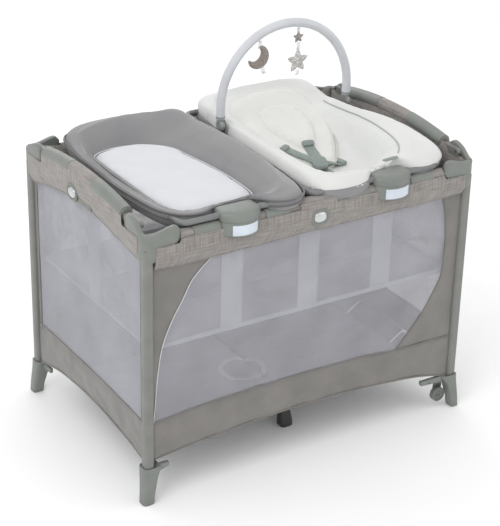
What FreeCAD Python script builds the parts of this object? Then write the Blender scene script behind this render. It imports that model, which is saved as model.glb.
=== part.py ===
"""Travel play yard: a folding four-post cot with a changing table and a newborn lounger.

Millimetres. Origin on the floor under the middle of the cot, X along the long side,
-Y the front, +Z up. Corner parts are drawn in the back right corner, where X and Y
are positive, and mirrored into the other corners.
"""
import FreeCAD, Part
import math
import os
import re

import Sketcher
from FreeCAD import Placement, Rotation, Vector

# ---------------------------------------------------------------- driving dimensions

DIMENSIONS = (
    # legs
    ("leg_across", 502, "post centre from the middle, along X"),
    ("leg_deep", 332, "post centre from the middle, along Y"),
    ("post_width", 28, "side of the post's rounded square section"),
    ("post_wall", 2, "wall of the post"),
    ("post_foot", 75, "height where the post enters the foot"),
    ("post_head", 738, "height of the post's upper end"),
    ("post_round", 9, "corner radius of the post"),
    # corner brackets
    ("bracket_thick", 36, "thickness of the bracket's column and arms"),
    ("bracket_foot", 704, "lower edge of the bracket at the corner"),
    ("bracket_crown", 778, "upper edge of the bracket at the corner"),
    ("long_arm", 415, "end of the arm on the long side"),
    ("short_arm", 244, "end of the arm on the short side"),
    ("bracket_round", 12, "radius of the bracket's upright corner"),
    ("channel", 22, "width of the slot that takes a rail's tongue"),
    # top rails
    ("long_hinge", 462, "long rail's bracket hinge, along X"),
    ("long_joint", 35, "long rail's latch hinge, along X"),
    ("long_height", 756, "height of the long rails' hinges"),
    ("short_hinge", 292, "short rail's bracket hinge, along Y"),
    ("short_joint", 45, "short rail's latch hinge, along Y"),
    ("short_height", 790, "height of the short rails' hinges"),
    ("rail_bore", 15, "outside radius of a sleeved rail"),
    ("shoulder", 50, "long bracket hinge to the start of the sleeved rail"),
    ("short_shoulder", 62, "short bracket hinge to the start of the sleeved rail"),
    ("latch_gap", 22, "latch hinge to the end of the sleeved rail"),
    ("tongue", 20, "side of a rail's tongue"),
    ("pin", 4, "radius of the hinge pins in the rails"),
    ("running", 0.1, "radial clearance of a pin in its hole"),
    ("arch_radius", 1364, "radius of the short rails' arch"),
    ("arch_crown", 816, "height of the arch's centre line in the middle"),
    # bassinet clips on the rails
    ("clip_bore", 15.3, "inside radius of a clip"),
    ("clip_skin", 19, "outside radius of a clip"),
    ("clip_wrap", 260, "angle that a long rail's clip goes round it, in degrees"),
    ("clip_lip", 10, "how far a short rail's clip comes below its centre line"),
    ("clip_inner_from", 88, "inner clip, nearer end"),
    ("clip_outer_from", 299, "outer clip, nearer end"),
    ("clip_length", 75, "length of each long rail clip"),
    ("short_clip_from", 68, "short rail clip, nearer end along Y"),
    ("short_clip_to", 226, "short rail clip, far end along Y"),
    # latches in the middle of the rails
    ("latch_half", 50, "half length of a long latch housing"),
    ("short_latch_half", 60, "half length of a short latch housing"),
    ("cheek", 4, "thickness of a latch's side plates"),
    ("latch_foot", 700, "lower edge of a long latch housing"),
    ("latch_sill", 744, "floor of a long latch's slot"),
    ("latch_top", 770, "upper edge of a long latch housing"),
    ("short_latch_foot", 738, "lower edge of a short latch housing"),
    ("short_latch_sill", 778, "floor of a short latch's slot"),
    ("short_latch_top", 806, "upper edge of a short latch housing"),
    ("button_wide", 44, "width of a release button"),
    ("button_tall", 34, "height of a long rail's button"),
    ("button_low", 30, "height of a short rail's button"),
    ("button_level", 722, "middle of the long rails' buttons"),
    ("short_button_level", 758, "middle of the short rails' buttons"),
    ("short_button_deep", 36, "middle of the short rails' buttons, along Y"),
    ("button_deep", 14, "depth of a release button"),
    ("button_proud", 5, "how far a button stands out of its housing"),
    ("button_play", 0.5, "gap round a button"),
    ("button_travel", 6, "how far a button is pressed"),
    # feet and casters
    ("foot_width", 36, "side of the foot's sleeve"),
    ("foot_top", 107, "upper edge of the foot's sleeve"),
    ("fork_reach", 24, "reach of the cheeks that carry a floor tube"),
    ("web_from", 14, "start of the web behind those cheeks"),
    ("web_to", 44, "end of the web behind those cheeks"),
    ("fork_rise", 7, "how far the cheeks rise above the hinge"),
    ("sole", 44, "side of the sole plate"),
    ("sole_shift", 4, "how far the sole plate stands outside the sleeve's middle"),
    ("sole_thick", 12, "thickness of the sole plate"),
    ("wing", 60, "reach of the foot's side wings"),
    ("wing_thick", 8, "thickness of the foot's side wings"),
    ("wheel_radius", 22, "radius of a caster wheel"),
    ("wheel_wide", 18, "width of a caster wheel"),
    ("wheel_across", 464, "wheel centre along X"),
    ("wheel_height", 46, "wheel centre above the floor"),
    ("wheel_gap", 4, "gap round a caster wheel"),
    ("wheel_play", 0.5, "gap beside a caster wheel"),
    ("caster_cheek", 5.5, "thickness of the plates beside a caster wheel"),
    ("caster_plate", 8, "how far those plates reach beyond the axle"),
    # folding floor frame
    ("knuckle_across", 472, "tube's hinge in the foot, along X"),
    ("knuckle_deep", 297, "tube's hinge in the foot, along Y"),
    ("hub_across", 45, "tube's hinge in the hub, along X"),
    ("hub_deep", 50, "tube's hinge in the hub, along Y"),
    ("floor_height", 100, "height of the floor tubes' hinges"),
    ("floor_tube", 10, "radius of a floor tube"),
    ("floor_gap", 20, "hinge to the start of the round tube"),
    ("lug_thick", 12, "thickness of a floor tube's flat end"),
    ("lug_half", 8, "half height of a floor tube's flat end"),
    ("fork_cheek", 4, "thickness of the plates beside a flat end"),
    ("small_pin", 3, "radius of the floor hinges' pins"),
    ("hinge_play", 0.3, "gap beside a flat end or a centre leg"),
    ("hub_half", 50, "half length of the hub's plate"),
    ("hub_half_deep", 58, "half depth of the hub's plate"),
    ("core_half", 24, "half length of the block under the hub's plate"),
    ("core_half_deep", 30, "half depth of the block under the hub's plate"),
    ("core_drop", 12, "how far that block hangs below the hinges"),
    ("hub_play", 0.5, "gap over and under the hub's plate"),
    ("ear", 3.7, "thickness of the ears that carry a centre leg"),
    # centre legs
    ("centre_across", 14, "centre leg's arm, along X"),
    ("centre_arm", 16, "width of a centre leg's arm"),
    ("centre_reach", 190, "middle of a centre leg's pad, along Y"),
    ("pad_from", 2, "nearer edge of a centre leg's pad, along X"),
    ("pad_wide", 42, "width of a centre leg's pad"),
    ("pad_half_deep", 18, "half depth of a centre leg's pad"),
    # soft parts on the frame
    ("cloth", 4, "thickness of the fabric walls"),
    ("shell_foot", 112, "underside of the fabric shell"),
    ("shell_top", 698, "upper edge of the fabric shell's walls"),
    ("shell_across", 480, "half length of the shell's long walls"),
    ("shell_deep", 312, "half length of the shell's short walls"),
    ("bassinet_across", 478, "half length of the bassinet"),
    ("bassinet_deep", 308, "half depth of the bassinet"),
    ("bassinet_floor", 436, "underside of the bassinet's floor"),
    ("bassinet_top", 735, "upper edge of the bassinet"),
    ("bassinet_base", 14, "thickness of the bassinet's padded floor"),
    ("mattress_across", 474, "half length of the floor mattress"),
    ("mattress_deep", 314, "half depth of the floor mattress"),
    ("mattress_thick", 18, "thickness of the floor mattress"),
    ("mattress_play", 0.2, "gap under the floor mattress"),
    ("mattress_split", 1, "half gap between the mattress's two boards"),
    # accessories that hang on the long rails
    ("carry_height", 786, "height of the accessory frames' tube"),
    ("carry_tube", 8, "radius of the accessory frames' tube"),
    ("carry_bend", 24, "bend radius of the accessory frames' tube"),
    ("changer_left", -405, "changing table frame, left cross tube"),
    ("changer_right", -55, "changing table frame, right cross tube"),
    ("napper_left", -14, "lounger frame, left cross tube"),
    ("napper_right", 398, "lounger frame, right cross tube"),
    ("rim_foot", 797, "underside of the accessories' padded rim"),
    ("rim_thick", 12, "thickness of the changing table's rim"),
    ("rim_deep", 345, "half depth of the accessories' rim"),
    ("changer_rim_left", -455, "changing table's rim, left edge"),
    ("changer_rim_right", -32, "changing table's rim, right edge"),
    ("tray_wall", 12, "wall of the changing table's tray"),
    ("tray_deep", 292, "half depth of the tray, outside"),
    ("tray_foot", 740, "underside of the tray"),
    ("changer_pad_thick", 26, "thickness of the white pad"),
    ("changer_pad_gap", 8, "gap round the white pad"),
    ("padding_round", 40, "corner radius of the padded parts"),
    ("cushion_top", 828, "upper edge of the lounger's cushion"),
    ("cushion_left", 2, "lounger cushion's left edge"),
    ("cushion_flare", 54, "how far the cushion's foot end reaches beyond the frame"),
    ("sling_drop", 100, "depth of the lounger's sling below its rim"),
    ("seat_drop", 84, "depth of the lounger's seat below its rim"),
    ("webbing", 2, "thickness of the harness webbing"),
    ("belt_reach", 100, "half length of the harness's waist straps"),
    ("belt_half", 14, "half width of the harness webbing"),
    ("crotch_from", -230, "front end of the harness's middle strap"),
    ("buckle_middle", -120, "harness buckle, along Y"),
    ("buckle_half", 24, "half width of the harness buckle"),
    ("buckle_half_deep", 20, "half depth of the harness buckle"),
    ("buckle_thick", 8, "thickness of the harness buckle"),
    # clamp pods
    ("pod_middle", 238, "middle of each pod, along X"),
    ("pod_half", 58, "half width of a pod"),
    ("pod_curve", 67.5, "radius of a pod's round front"),
    ("pod_front", 378, "front of a pod"),
    ("pod_back", 297, "inner edge of a pod"),
    ("pod_foot", 730, "lower edge of a pod"),
    ("pod_top", 796, "upper edge of a pod"),
    ("pod_roof", 773, "roof of the pod's slot over the rail"),
    ("slot_in", 311, "inner side of the pod's slot"),
    ("slot_out", 350, "outer side of the pod's slot"),
    ("lip_foot", 748, "lower edge of the pod's inner lip"),
    # toy arch
    ("arch_left", -14, "left leg of the toy arch"),
    ("arch_right", 414, "right leg of the toy arch"),
    ("arch_deep", 130, "toy arch, along Y"),
    ("arch_hinge", 820, "height of the toy arch's hinge"),
    ("arch_spring", 872, "height where the toy arch's legs become the bow"),
    ("arch_tube", 12, "radius of the toy arch's tube"),
    ("boss", 17, "radius of the toy arch's hinge discs"),
    ("boss_thick", 12, "thickness of the toy arch's hinge discs"),
    ("boss_plate", 4.5, "thickness of the plates that the toy arch turns on"),
    ("boss_play", 0.5, "gap between a disc and its plate"),
    ("boss_gap", 22, "hinge to the start of the toy arch's tube"),
    ("moon_across", 107, "moon's hanging point, along X"),
    ("moon_height", 1004, "centre of the moon"),
    ("moon_radius", 36, "radius of the moon"),
    ("star_across", 239, "stars' hanging point, along X"),
    ("star_height", 969, "centre of the large star"),
    ("star_radius", 36, "point radius of the large star"),
    ("toy_thick", 16, "thickness of the hanging toys"),
)

doc = FreeCAD.newDocument("travel_play_yard")
sheet = doc.addObject("Spreadsheet::Sheet", "Dimensions")
sheet.Label = "Dimensions"
for row, (alias, value, meaning) in enumerate(DIMENSIONS, start=1):
    sheet.set(f"A{row}", alias)
    sheet.set(f"B{row}", str(value))
    sheet.set(f"C{row}", meaning)
    sheet.setAlias(f"B{row}", alias)
doc.recompute()

FUNCTIONS = ("sqrt", "asin")
parts = {}


def formula(text):
    """A formula in which every word is a cell of the sheet, apart from the functions."""
    def cell(match):
        word = match.group()
        return word if word in FUNCTIONS else "Dimensions." + word
    return re.sub(r"[a-z][a-z_0-9]*", cell, str(text))


def size(text):
    """The number that a formula on the sheet's cells gives."""
    return float(sheet.evalExpression(formula(text)))


def bind(thing, **sizes):
    """Drive a feature's sizes with formulas on the sheet."""
    for name, text in sizes.items():
        thing.setExpression(name, formula(text))
    return thing


def put(thing, x=0, y=0, z=0, turn=None):
    """Place a feature by formulas on the sheet, turned by a rotation."""
    if turn:
        thing.Placement = Placement(Vector(), turn)
    for axis, text in (("x", x), ("y", y), ("z", z)):
        thing.setExpression("Placement.Base." + axis, formula(text))
    return thing


def keep(thing, label):
    """Name a finished sub-part."""
    thing.Label = label
    parts[label] = thing
    return thing


def block(x, y, z):
    """A block between two formulas on each axis."""
    thing = doc.addObject("Part::Box", "Block")
    bind(thing, Length=f"({x[1]}) - ({x[0]})", Width=f"({y[1]}) - ({y[0]})",
         Height=f"({z[1]}) - ({z[0]})")
    return put(thing, x[0], y[0], z[0])


def aim(along, start=Vector(0, 0, 1)):
    """A turn that carries local Z to `along` and local X towards `start`."""
    return Rotation(start, Vector(), along, "ZXY")


def rod(radius, length, x, y, z, along=Vector(0, 0, 1), start=Vector(1, 0, 0)):
    """A round bar from a point, running along a direction."""
    thing = doc.addObject("Part::Cylinder", "Rod")
    bind(thing, Radius=radius, Height=length)
    return put(thing, x, y, z, aim(along, start))


def join(*things):
    """Several features as one."""
    thing = doc.addObject("Part::MultiFuse", "Joined")
    thing.Shapes = list(things)
    return thing


def cut(base, *tools):
    """A feature with others taken away from it."""
    thing = doc.addObject("Part::Cut", "Cut")
    thing.Base = base
    thing.Tool = tools[0] if len(tools) == 1 else join(*tools)
    return thing


def common(first, second):
    """What two features share."""
    thing = doc.addObject("Part::Common", "Common")
    thing.Base = first
    thing.Tool = second
    return thing


def mirror(source, axis):
    """A mirrored copy across the middle plane of one axis."""
    thing = doc.addObject("Part::Mirroring", "Mirrored")
    thing.Source = source
    thing.Normal = Vector(1, 0, 0) if axis == "x" else Vector(0, 1, 0)
    return thing


def rounded(base, radius, chosen):
    """A feature with the edges that `chosen` accepts rounded to a formula's radius."""
    doc.recompute()
    thing = doc.addObject("Part::Fillet", "Rounded")
    thing.Base = base
    amount = size(radius)
    thing.Edges = [(index, amount, amount)
                   for index, edge in enumerate(base.Shape.Edges, start=1) if chosen(edge)]
    return thing


def upright(edge):
    """Whether an edge is straight and runs along Z."""
    return edge.Curve.TypeId == "Part::GeomLine" and abs(edge.tangentAt(edge.FirstParameter).z) > 0.99


def corner_upright(x, y):
    """Whether an edge is upright and stands at x, y."""
    def chosen(edge):
        middle = edge.CenterOfMass
        return upright(edge) and abs(middle.x - size(x)) < 0.1 and abs(middle.y - size(y)) < 0.1
    return chosen


PLANES = {"xy": "XY_Plane", "xz": "XZ_Plane", "yz": "YZ_Plane"}


def drawn(plane, points, depth, x=0, y=0, z=0, soften=None):
    """A PartDesign body: an outline of straight edges, padded both ways from its plane.

    Each corner of the outline is a pair of formulas, and is held by two constraints.
    """
    body = doc.addObject("PartDesign::Body", "Drawn")
    sketch = body.newObject("Sketcher::SketchObject", "Outline")
    origin = [f for f in body.Origin.OriginFeatures if f.Role == PLANES[plane]][0]
    sketch.AttachmentSupport = (origin, [""])
    sketch.MapMode = "FlatFace"
    corners = [Vector(size(across), size(up), 0) for across, up in points]
    count = len(corners)
    for index, corner in enumerate(corners):
        sketch.addGeometry(Part.LineSegment(corner, corners[(index + 1) % count]), False)
    for index in range(count):
        following = (index + 1) % count
        sketch.addConstraint(Sketcher.Constraint("Coincident", index, 2, following, 1))
    for index, (across, up) in enumerate(points):
        for kind, text in (("DistanceX", across), ("DistanceY", up)):
            place = sketch.addConstraint(
                Sketcher.Constraint(kind, -1, 1, index, 1, size(text)))
            sketch.setExpression(f"Constraints[{place}]", formula(text))
    pad = body.newObject("PartDesign::Pad", "Pad")
    pad.Profile = sketch
    pad.Midplane = True
    pad.setExpression("Length", formula(depth))
    sketch.Visibility = False
    if soften:
        radius, chosen = soften
        doc.recompute()
        fillet = body.newObject("PartDesign::Fillet", "Fillet")
        names = [f"Edge{index}" for index, edge in enumerate(pad.Shape.Edges, start=1)
                 if chosen(edge)]
        fillet.Base = (pad, names)
        fillet.setExpression("Radius", formula(radius))
        body.Tip = fillet
    return put(body, x, y, z)


def turned(points, x, y, z):
    """A PartDesign body: an outline in radius and height, revolved about its own Y axis.

    The finished ring lies with its axis along Y.
    """
    body = doc.addObject("PartDesign::Body", "Turned")
    sketch = body.newObject("Sketcher::SketchObject", "Profile")
    origin = [f for f in body.Origin.OriginFeatures if f.Role == "XY_Plane"][0]
    sketch.AttachmentSupport = (origin, [""])
    sketch.MapMode = "FlatFace"
    corners = [Vector(size(radius), size(along), 0) for radius, along in points]
    for index, corner in enumerate(corners):
        sketch.addGeometry(Part.LineSegment(corner, corners[(index + 1) % len(corners)]), False)
    for index in range(len(corners)):
        sketch.addConstraint(
            Sketcher.Constraint("Coincident", index, 2, (index + 1) % len(corners), 1))
    for index, (radius, along) in enumerate(points):
        for kind, text in (("DistanceX", radius), ("DistanceY", along)):
            place = sketch.addConstraint(
                Sketcher.Constraint(kind, -1, 1, index, 1, size(text)))
            sketch.setExpression(f"Constraints[{place}]", formula(text))
    ring = body.newObject("PartDesign::Revolution", "Revolution")
    ring.Profile = sketch
    ring.ReferenceAxis = (sketch, ["V_Axis"])
    ring.Angle = 360
    sketch.Visibility = False
    return put(body, x, y, z)


def four_corners(source, name):
    """A back right part, copied into the other three corners."""
    keep(source, name + "_back_right")
    keep(mirror(source, "x"), name + "_back_left")
    front_right = keep(mirror(source, "y"), name + "_front_right")
    keep(mirror(front_right, "x"), name + "_front_left")


ALONG_X = Vector(1, 0, 0)
ALONG_Y = Vector(0, 1, 0)
ALONG_Z = Vector(0, 0, 1)

# ---------------------------------------------------------------- legs


def square(x, y, side):
    """The corners of a square about a point, as formulas."""
    half = f"({side}) / 2"
    return [(f"{x} {a} {half}", f"{y} {b} {half}") for a, b in ("--", "+-", "++", "-+")]


def square_bar(side, radius, low, high):
    """A square bar on the leg's centre with rounded upright corners."""
    return drawn("xy", square("leg_across", "leg_deep", side), f"{high} - ({low})",
                 z=f"({high} + {low}) / 2", soften=(radius, upright))


post = cut(square_bar("post_width", "post_round", "post_foot", "post_head"),
           square_bar("post_width - 2 * post_wall", "post_round - post_wall",
                      "post_foot - 1", "post_head + 1"))
four_corners(post, "post")

# Each bracket is one L of plastic: an upright column on the post, and two arms that
# are hollow below, where the tongues of the rails turn on steel pins.
half_thick = "bracket_thick / 2"
long_arm = drawn(
    "xz",
    [(f"leg_across + {half_thick}", "bracket_foot"), ("leg_across - 2", "bracket_foot"),
     ("long_hinge", "bracket_foot + 21"), ("long_arm + 17", "bracket_foot + 34"),
     ("long_arm", "bracket_foot + 48"), ("long_arm", "bracket_crown + 15"),
     ("long_arm + 25", "bracket_crown + 17"), ("long_hinge + 13", "bracket_crown + 8"),
     (f"leg_across + {half_thick}", "bracket_crown")],
    "bracket_thick", y="leg_deep",
    soften=("bracket_round / 3", lambda edge: abs(edge.CenterOfMass.x - size("long_arm")) < 1))
short_arm = drawn(
    "yz",
    [(f"leg_deep + {half_thick}", "bracket_foot"), ("leg_deep - 2", "bracket_foot"),
     ("short_hinge + 4", "bracket_foot + 24"), ("short_hinge - 30", "bracket_foot + 44"),
     ("short_arm", "bracket_foot + 52"), ("short_arm", "bracket_crown + 34"),
     ("short_hinge - 17", "bracket_crown + 34"), ("short_hinge + 23", "bracket_crown + 14"),
     (f"leg_deep + {half_thick}", "bracket_crown")],
    "bracket_thick", x="leg_across",
    soften=("bracket_round / 3", lambda edge: abs(edge.CenterOfMass.y - size("short_arm")) < 1))
solid_bracket = rounded(
    join(long_arm, short_arm), "bracket_round",
    corner_upright(f"leg_across + {half_thick}", f"leg_deep + {half_thick}"))
below = "bracket_foot - 1"
long_channel = block(("long_arm - 1", f"leg_across - {half_thick}"),
                     ("leg_deep - channel / 2", "leg_deep + channel / 2"),
                     (below, "long_height + tongue / 2 + 2"))
short_channel = block(("leg_across - channel / 2", "leg_across + channel / 2"),
                      ("short_arm - 1", f"leg_deep - {half_thick}"),
                      (below, "short_height + tongue / 2 + 2"))
post_socket = square_bar("post_width", "post_round", below, "post_head")
pin_length = "channel + 8"
bracket = join(
    cut(solid_bracket, long_channel, short_channel, post_socket),
    rod("pin", pin_length, "long_hinge", "leg_deep - channel / 2 - 4", "long_height", ALONG_Y),
    rod("pin", pin_length, "leg_across - channel / 2 - 4", "short_hinge", "short_height",
        ALONG_X, ALONG_Z))
four_corners(bracket, "bracket")

# The foot is a sleeve on the post with a sole plate, two side wings under the fabric,
# and a fork for the end of the diagonal floor tube.
sleeve_low = ("leg_across - foot_width / 2", "leg_deep - foot_width / 2")
sleeve_high = ("leg_across + foot_width / 2", "leg_deep + foot_width / 2")
outward = Vector(size("knuckle_across - hub_across"), size("knuckle_deep - hub_deep"), 0)
tube_span = outward.Length
outward.normalize()
hinge_line = ALONG_Z.cross(outward)
fork_width = "lug_thick / 2 + hinge_play + fork_cheek"


def beside(x, y, low, high, across, bottom, top):
    """A block along a floor tube's line: from `low` to `high` beyond a hinge at x, y."""
    thing = doc.addObject("Part::Box", "Block")
    bind(thing, Length=f"({high}) - ({low})", Width=f"({across[1]}) - ({across[0]})",
         Height=f"({top}) - ({bottom})")
    turn = Rotation(outward, hinge_line, ALONG_Z, "ZXY")
    shift = [f"({low}) * {outward[axis]:.8f} + ({across[0]}) * {hinge_line[axis]:.8f}"
             for axis in (0, 1)]
    return put(thing, f"{x} + {shift[0]}", f"{y} + {shift[1]}", bottom, turn)


def crosswise(radius, x, y, low, high):
    """A disc or pin on a floor tube's hinge line at x, y."""
    shift = [f"({low}) * {hinge_line[axis]:.8f}" for axis in (0, 1)]
    return rod(radius, f"({high}) - ({low})", f"{x} + {shift[0]}", f"{y} + {shift[1]}",
               "floor_height", hinge_line, ALONG_Z)


def fork(x, y, low, high, bottom, top):
    """Two cheeks with round noses and a pin, on a floor tube's hinge at x, y."""
    inside = "lug_thick / 2 + hinge_play"
    pieces = [crosswise("small_pin", x, y, f"-({fork_width})", fork_width)]
    for side in ((f"-({fork_width})", f"-({inside})"), (inside, fork_width)):
        pieces.append(beside(x, y, low, high, side, bottom, top))
        pieces.append(crosswise("floor_tube", x, y, *side))
    return pieces


foot_fork = fork("knuckle_across", "knuckle_deep", 0, "fork_reach",
                 "floor_height - floor_tube", "floor_height + fork_rise")
foot_web = beside("knuckle_across", "knuckle_deep", "web_from", "web_to",
                  (f"-({fork_width})", fork_width),
                  "floor_height - floor_tube", "floor_height + fork_rise")


def wing(plane, root, depth, **where):
    """A gusset from the sleeve out under the fabric, `depth` tall at its root."""
    return drawn(plane, [(root, f"foot_top - ({depth})"), (root, "foot_top"),
                         (f"{root} - wing", "foot_top"), (f"{root} - wing", "foot_top - wing_thick")],
                 "wing_thick", **where)


long_wing = wing("xz", sleeve_low[0], "wing", y=f"{sleeve_high[1]} - wing_thick")
short_wing = wing("yz", sleeve_low[1], "wing", x=f"{sleeve_high[0]} - wing_thick")
caster_wing = wing("xz", sleeve_low[0], "foot_top - wheel_height - wheel_radius - 12",
                   y=f"{sleeve_high[1]} - wing_thick")
sole_low = ("leg_across - sole / 2 + sole_shift", "leg_deep - sole / 2 + sole_shift")
foot_socket = square_bar("post_width", "post_round", "post_foot", "foot_top + 1")


def sleeve(bottom):
    """The foot's outside from a height up to its top."""
    return block((sleeve_low[0], sleeve_high[0]), (sleeve_low[1], sleeve_high[1]),
                 (bottom, "foot_top"))


def foot_body(*pieces):
    """A foot: what stands on the floor, with the sleeve, wings and fork that all feet have."""
    return join(cut(join(*pieces, foot_web, short_wing), foot_socket), *foot_fork)


plain_foot = foot_body(
    sleeve(0), long_wing,
    block((sole_low[0], f"{sole_low[0]} + sole"), (sole_low[1], f"{sole_low[1]} + sole"),
          (0, "sole_thick")))
left_foot = keep(mirror(plain_foot, "x"), "foot_back_left")
keep(mirror(left_foot, "y"), "foot_front_left")

# A caster foot stands on a prong. Its wheel sits inboard, clear of the floor, and
# rolls when the cot is tipped up and pushed.
axle_gap = "wheel_wide / 2 + wheel_play"
plates_low = f"leg_deep - {axle_gap} - caster_cheek"
plates_high = f"leg_deep + {axle_gap} + caster_cheek"
plates_root = "leg_across - 10"
plates_top = "foot_top - 17"
fork_plates = [block(("wheel_across - caster_plate", plates_root), side,
                     ("wheel_height - caster_plate", plates_top))
               for side in ((plates_low, f"leg_deep - ({axle_gap})"),
                            (f"leg_deep + {axle_gap}", plates_high))]
axle_hole = rod("small_pin + running", "foot_width + 8", "wheel_across", "leg_deep - 22",
                "wheel_height", ALONG_Y)
wheel_roof = block(("wheel_across - wheel_radius", plates_root), (plates_low, plates_high),
                   ("wheel_height + wheel_radius + wheel_gap", plates_top))
prong = block(("wheel_across + wheel_radius + wheel_gap", f"{sole_low[0]} + sole"),
              (sleeve_low[1], f"{sole_low[1]} + sole"), (0, "post_foot"))
caster_foot = cut(foot_body(sleeve("post_foot - 5"), caster_wing, prong, wheel_roof, *fork_plates),
                  axle_hole)
keep(caster_foot, "foot_back_right")
keep(mirror(caster_foot, "y"), "foot_front_right")

axle_end = f"{axle_gap} + caster_cheek"
wheel = turned(
    [(0, f"-({axle_end})"), ("small_pin", f"-({axle_end})"), ("small_pin", "-wheel_wide / 2"),
     ("wheel_radius * 0.35", "-wheel_wide / 2"), ("wheel_radius * 0.45", "-wheel_wide / 3"),
     ("wheel_radius * 0.75", "-wheel_wide / 3"), ("wheel_radius * 0.8", "-wheel_wide / 2"),
     ("wheel_radius - 2", "-wheel_wide / 2"), ("wheel_radius", "-wheel_wide / 2 + 2"),
     ("wheel_radius", "wheel_wide / 2 - 2"), ("wheel_radius - 2", "wheel_wide / 2"),
     ("wheel_radius * 0.8", "wheel_wide / 2"), ("wheel_radius * 0.75", "wheel_wide / 3"),
     ("wheel_radius * 0.45", "wheel_wide / 3"), ("wheel_radius * 0.35", "wheel_wide / 2"),
     ("small_pin", "wheel_wide / 2"), ("small_pin", axle_end), (0, axle_end)],
    "wheel_across", "leg_deep", "wheel_height")
keep(wheel, "wheel_back")
keep(mirror(wheel, "y"), "wheel_front")

# ---------------------------------------------------------------- top rails

thick = ("leg_deep - tongue / 2", "leg_deep + tongue / 2")
tall = ("long_height - tongue / 2", "long_height + tongue / 2")
sleeve_from = "long_joint + latch_gap"
sleeve_to = "long_hinge - shoulder"


def round_end(x, y, z, along):
    """The round end of a tongue, on a hinge along X or Y."""
    if along == ALONG_Y:
        return rod("tongue / 2", "tongue", x, f"{y} - tongue / 2", z, along)
    return rod("tongue / 2", "tongue", f"{x} - tongue / 2", y, z, along, ALONG_Z)


def pin_hole(x, y, z, along):
    """The hole for a pin in a tongue, on a hinge along X or Y."""
    if along == ALONG_Y:
        return rod("pin + running", "tongue + 2", x, f"{y} - tongue / 2 - 1", z, along)
    return rod("pin + running", "tongue + 2", f"{x} - tongue / 2 - 1", y, z, along, ALONG_Z)


long_rail = cut(
    join(rod("rail_bore", f"{sleeve_to} - ({sleeve_from})", sleeve_from, "leg_deep",
             "long_height", ALONG_X, ALONG_Z),
         block(("long_joint", f"{sleeve_from} + 5"), thick, tall),
         block((f"{sleeve_to} - 5", "long_hinge"), thick, tall),
         round_end("long_joint", "leg_deep", "long_height", ALONG_Y),
         round_end("long_hinge", "leg_deep", "long_height", ALONG_Y)),
    pin_hole("long_joint", "leg_deep", "long_height", ALONG_Y),
    pin_hole("long_hinge", "leg_deep", "long_height", ALONG_Y))
four_corners(long_rail, "long_rail")


def bow(radius, low, high):
    """A stretch of a short rail's arch, from one Y to another."""
    thing = doc.addObject("Part::Torus", "Bow")
    bind(thing, Radius1="arch_radius", Radius2=radius,
         Angle3=f"asin(({high}) / arch_radius) - asin(({low}) / arch_radius)")
    begin = math.asin(size(low) / size("arch_radius"))
    turn = aim(Vector(-1, 0, 0), Vector(0, math.sin(begin), math.cos(begin)))
    return put(thing, "leg_across", 0, "arch_crown - arch_radius", turn)


across = ("leg_across - tongue / 2", "leg_across + tongue / 2")
bow_from = "short_joint + latch_gap"
bow_to = "short_hinge - short_shoulder"
short_rail = cut(
    join(bow("rail_bore", bow_from, bow_to),
         drawn("yz", [("short_joint", "short_height - tongue / 2"),
                      (f"{bow_from} + 3", "arch_crown - rail_bore"),
                      (f"{bow_from} + 3", "arch_crown + rail_bore - 4"),
                      ("short_joint", "short_height + tongue / 2")],
               "tongue", x="leg_across"),
         block(across, (f"{bow_to} - 5", "short_hinge"),
               ("short_height - tongue / 2", "short_height + tongue / 2")),
         round_end("leg_across", "short_joint", "short_height", ALONG_X),
         round_end("leg_across", "short_hinge", "short_height", ALONG_X)),
    pin_hole("leg_across", "short_joint", "short_height", ALONG_X),
    pin_hole("leg_across", "short_hinge", "short_height", ALONG_X))
four_corners(short_rail, "short_rail")

# The bassinet hangs from plastic clips that go over the rails and are open below.
clip_lean = size("clip_wrap") / 2
clip_turn = Rotation(ALONG_X, -clip_lean).multiply(aim(ALONG_X, ALONG_Z))
long_clips = []
for start in ("clip_inner_from", "clip_outer_from"):
    sector = rod("clip_skin", "clip_length", start, "leg_deep", "long_height", ALONG_X, ALONG_Z)
    bind(sector, Angle="clip_wrap")
    put(sector, start, "leg_deep", "long_height", clip_turn)
    long_clips.append(cut(sector, rod("clip_bore", "clip_length + 2", f"{start} - 1", "leg_deep",
                                 "long_height", ALONG_X, ALONG_Z)))
four_corners(join(*long_clips), "long_clips")


def mouth(y):
    """Where the lips of a short rail's clip end: below the arch's centre line at one Y."""
    return f"arch_crown - arch_radius + sqrt(arch_radius * arch_radius - ({y}) * ({y})) - clip_lip"


lips = [(y, mouth(y)) for y in ("short_clip_to + 2", "(short_clip_from + short_clip_to) / 2",
                                "short_clip_from - 2")]
clip_mouth = drawn("yz", [("short_clip_from - 2", "short_height - 20"),
                          ("short_clip_to + 2", "short_height - 20"), *lips],
                   "2 * clip_skin + 2", x="leg_across")
four_corners(cut(bow("clip_skin", "short_clip_from", "short_clip_to"),
                 bow("clip_bore", "short_clip_from - 2", "short_clip_to + 2"), clip_mouth),
             "short_clip")

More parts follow.
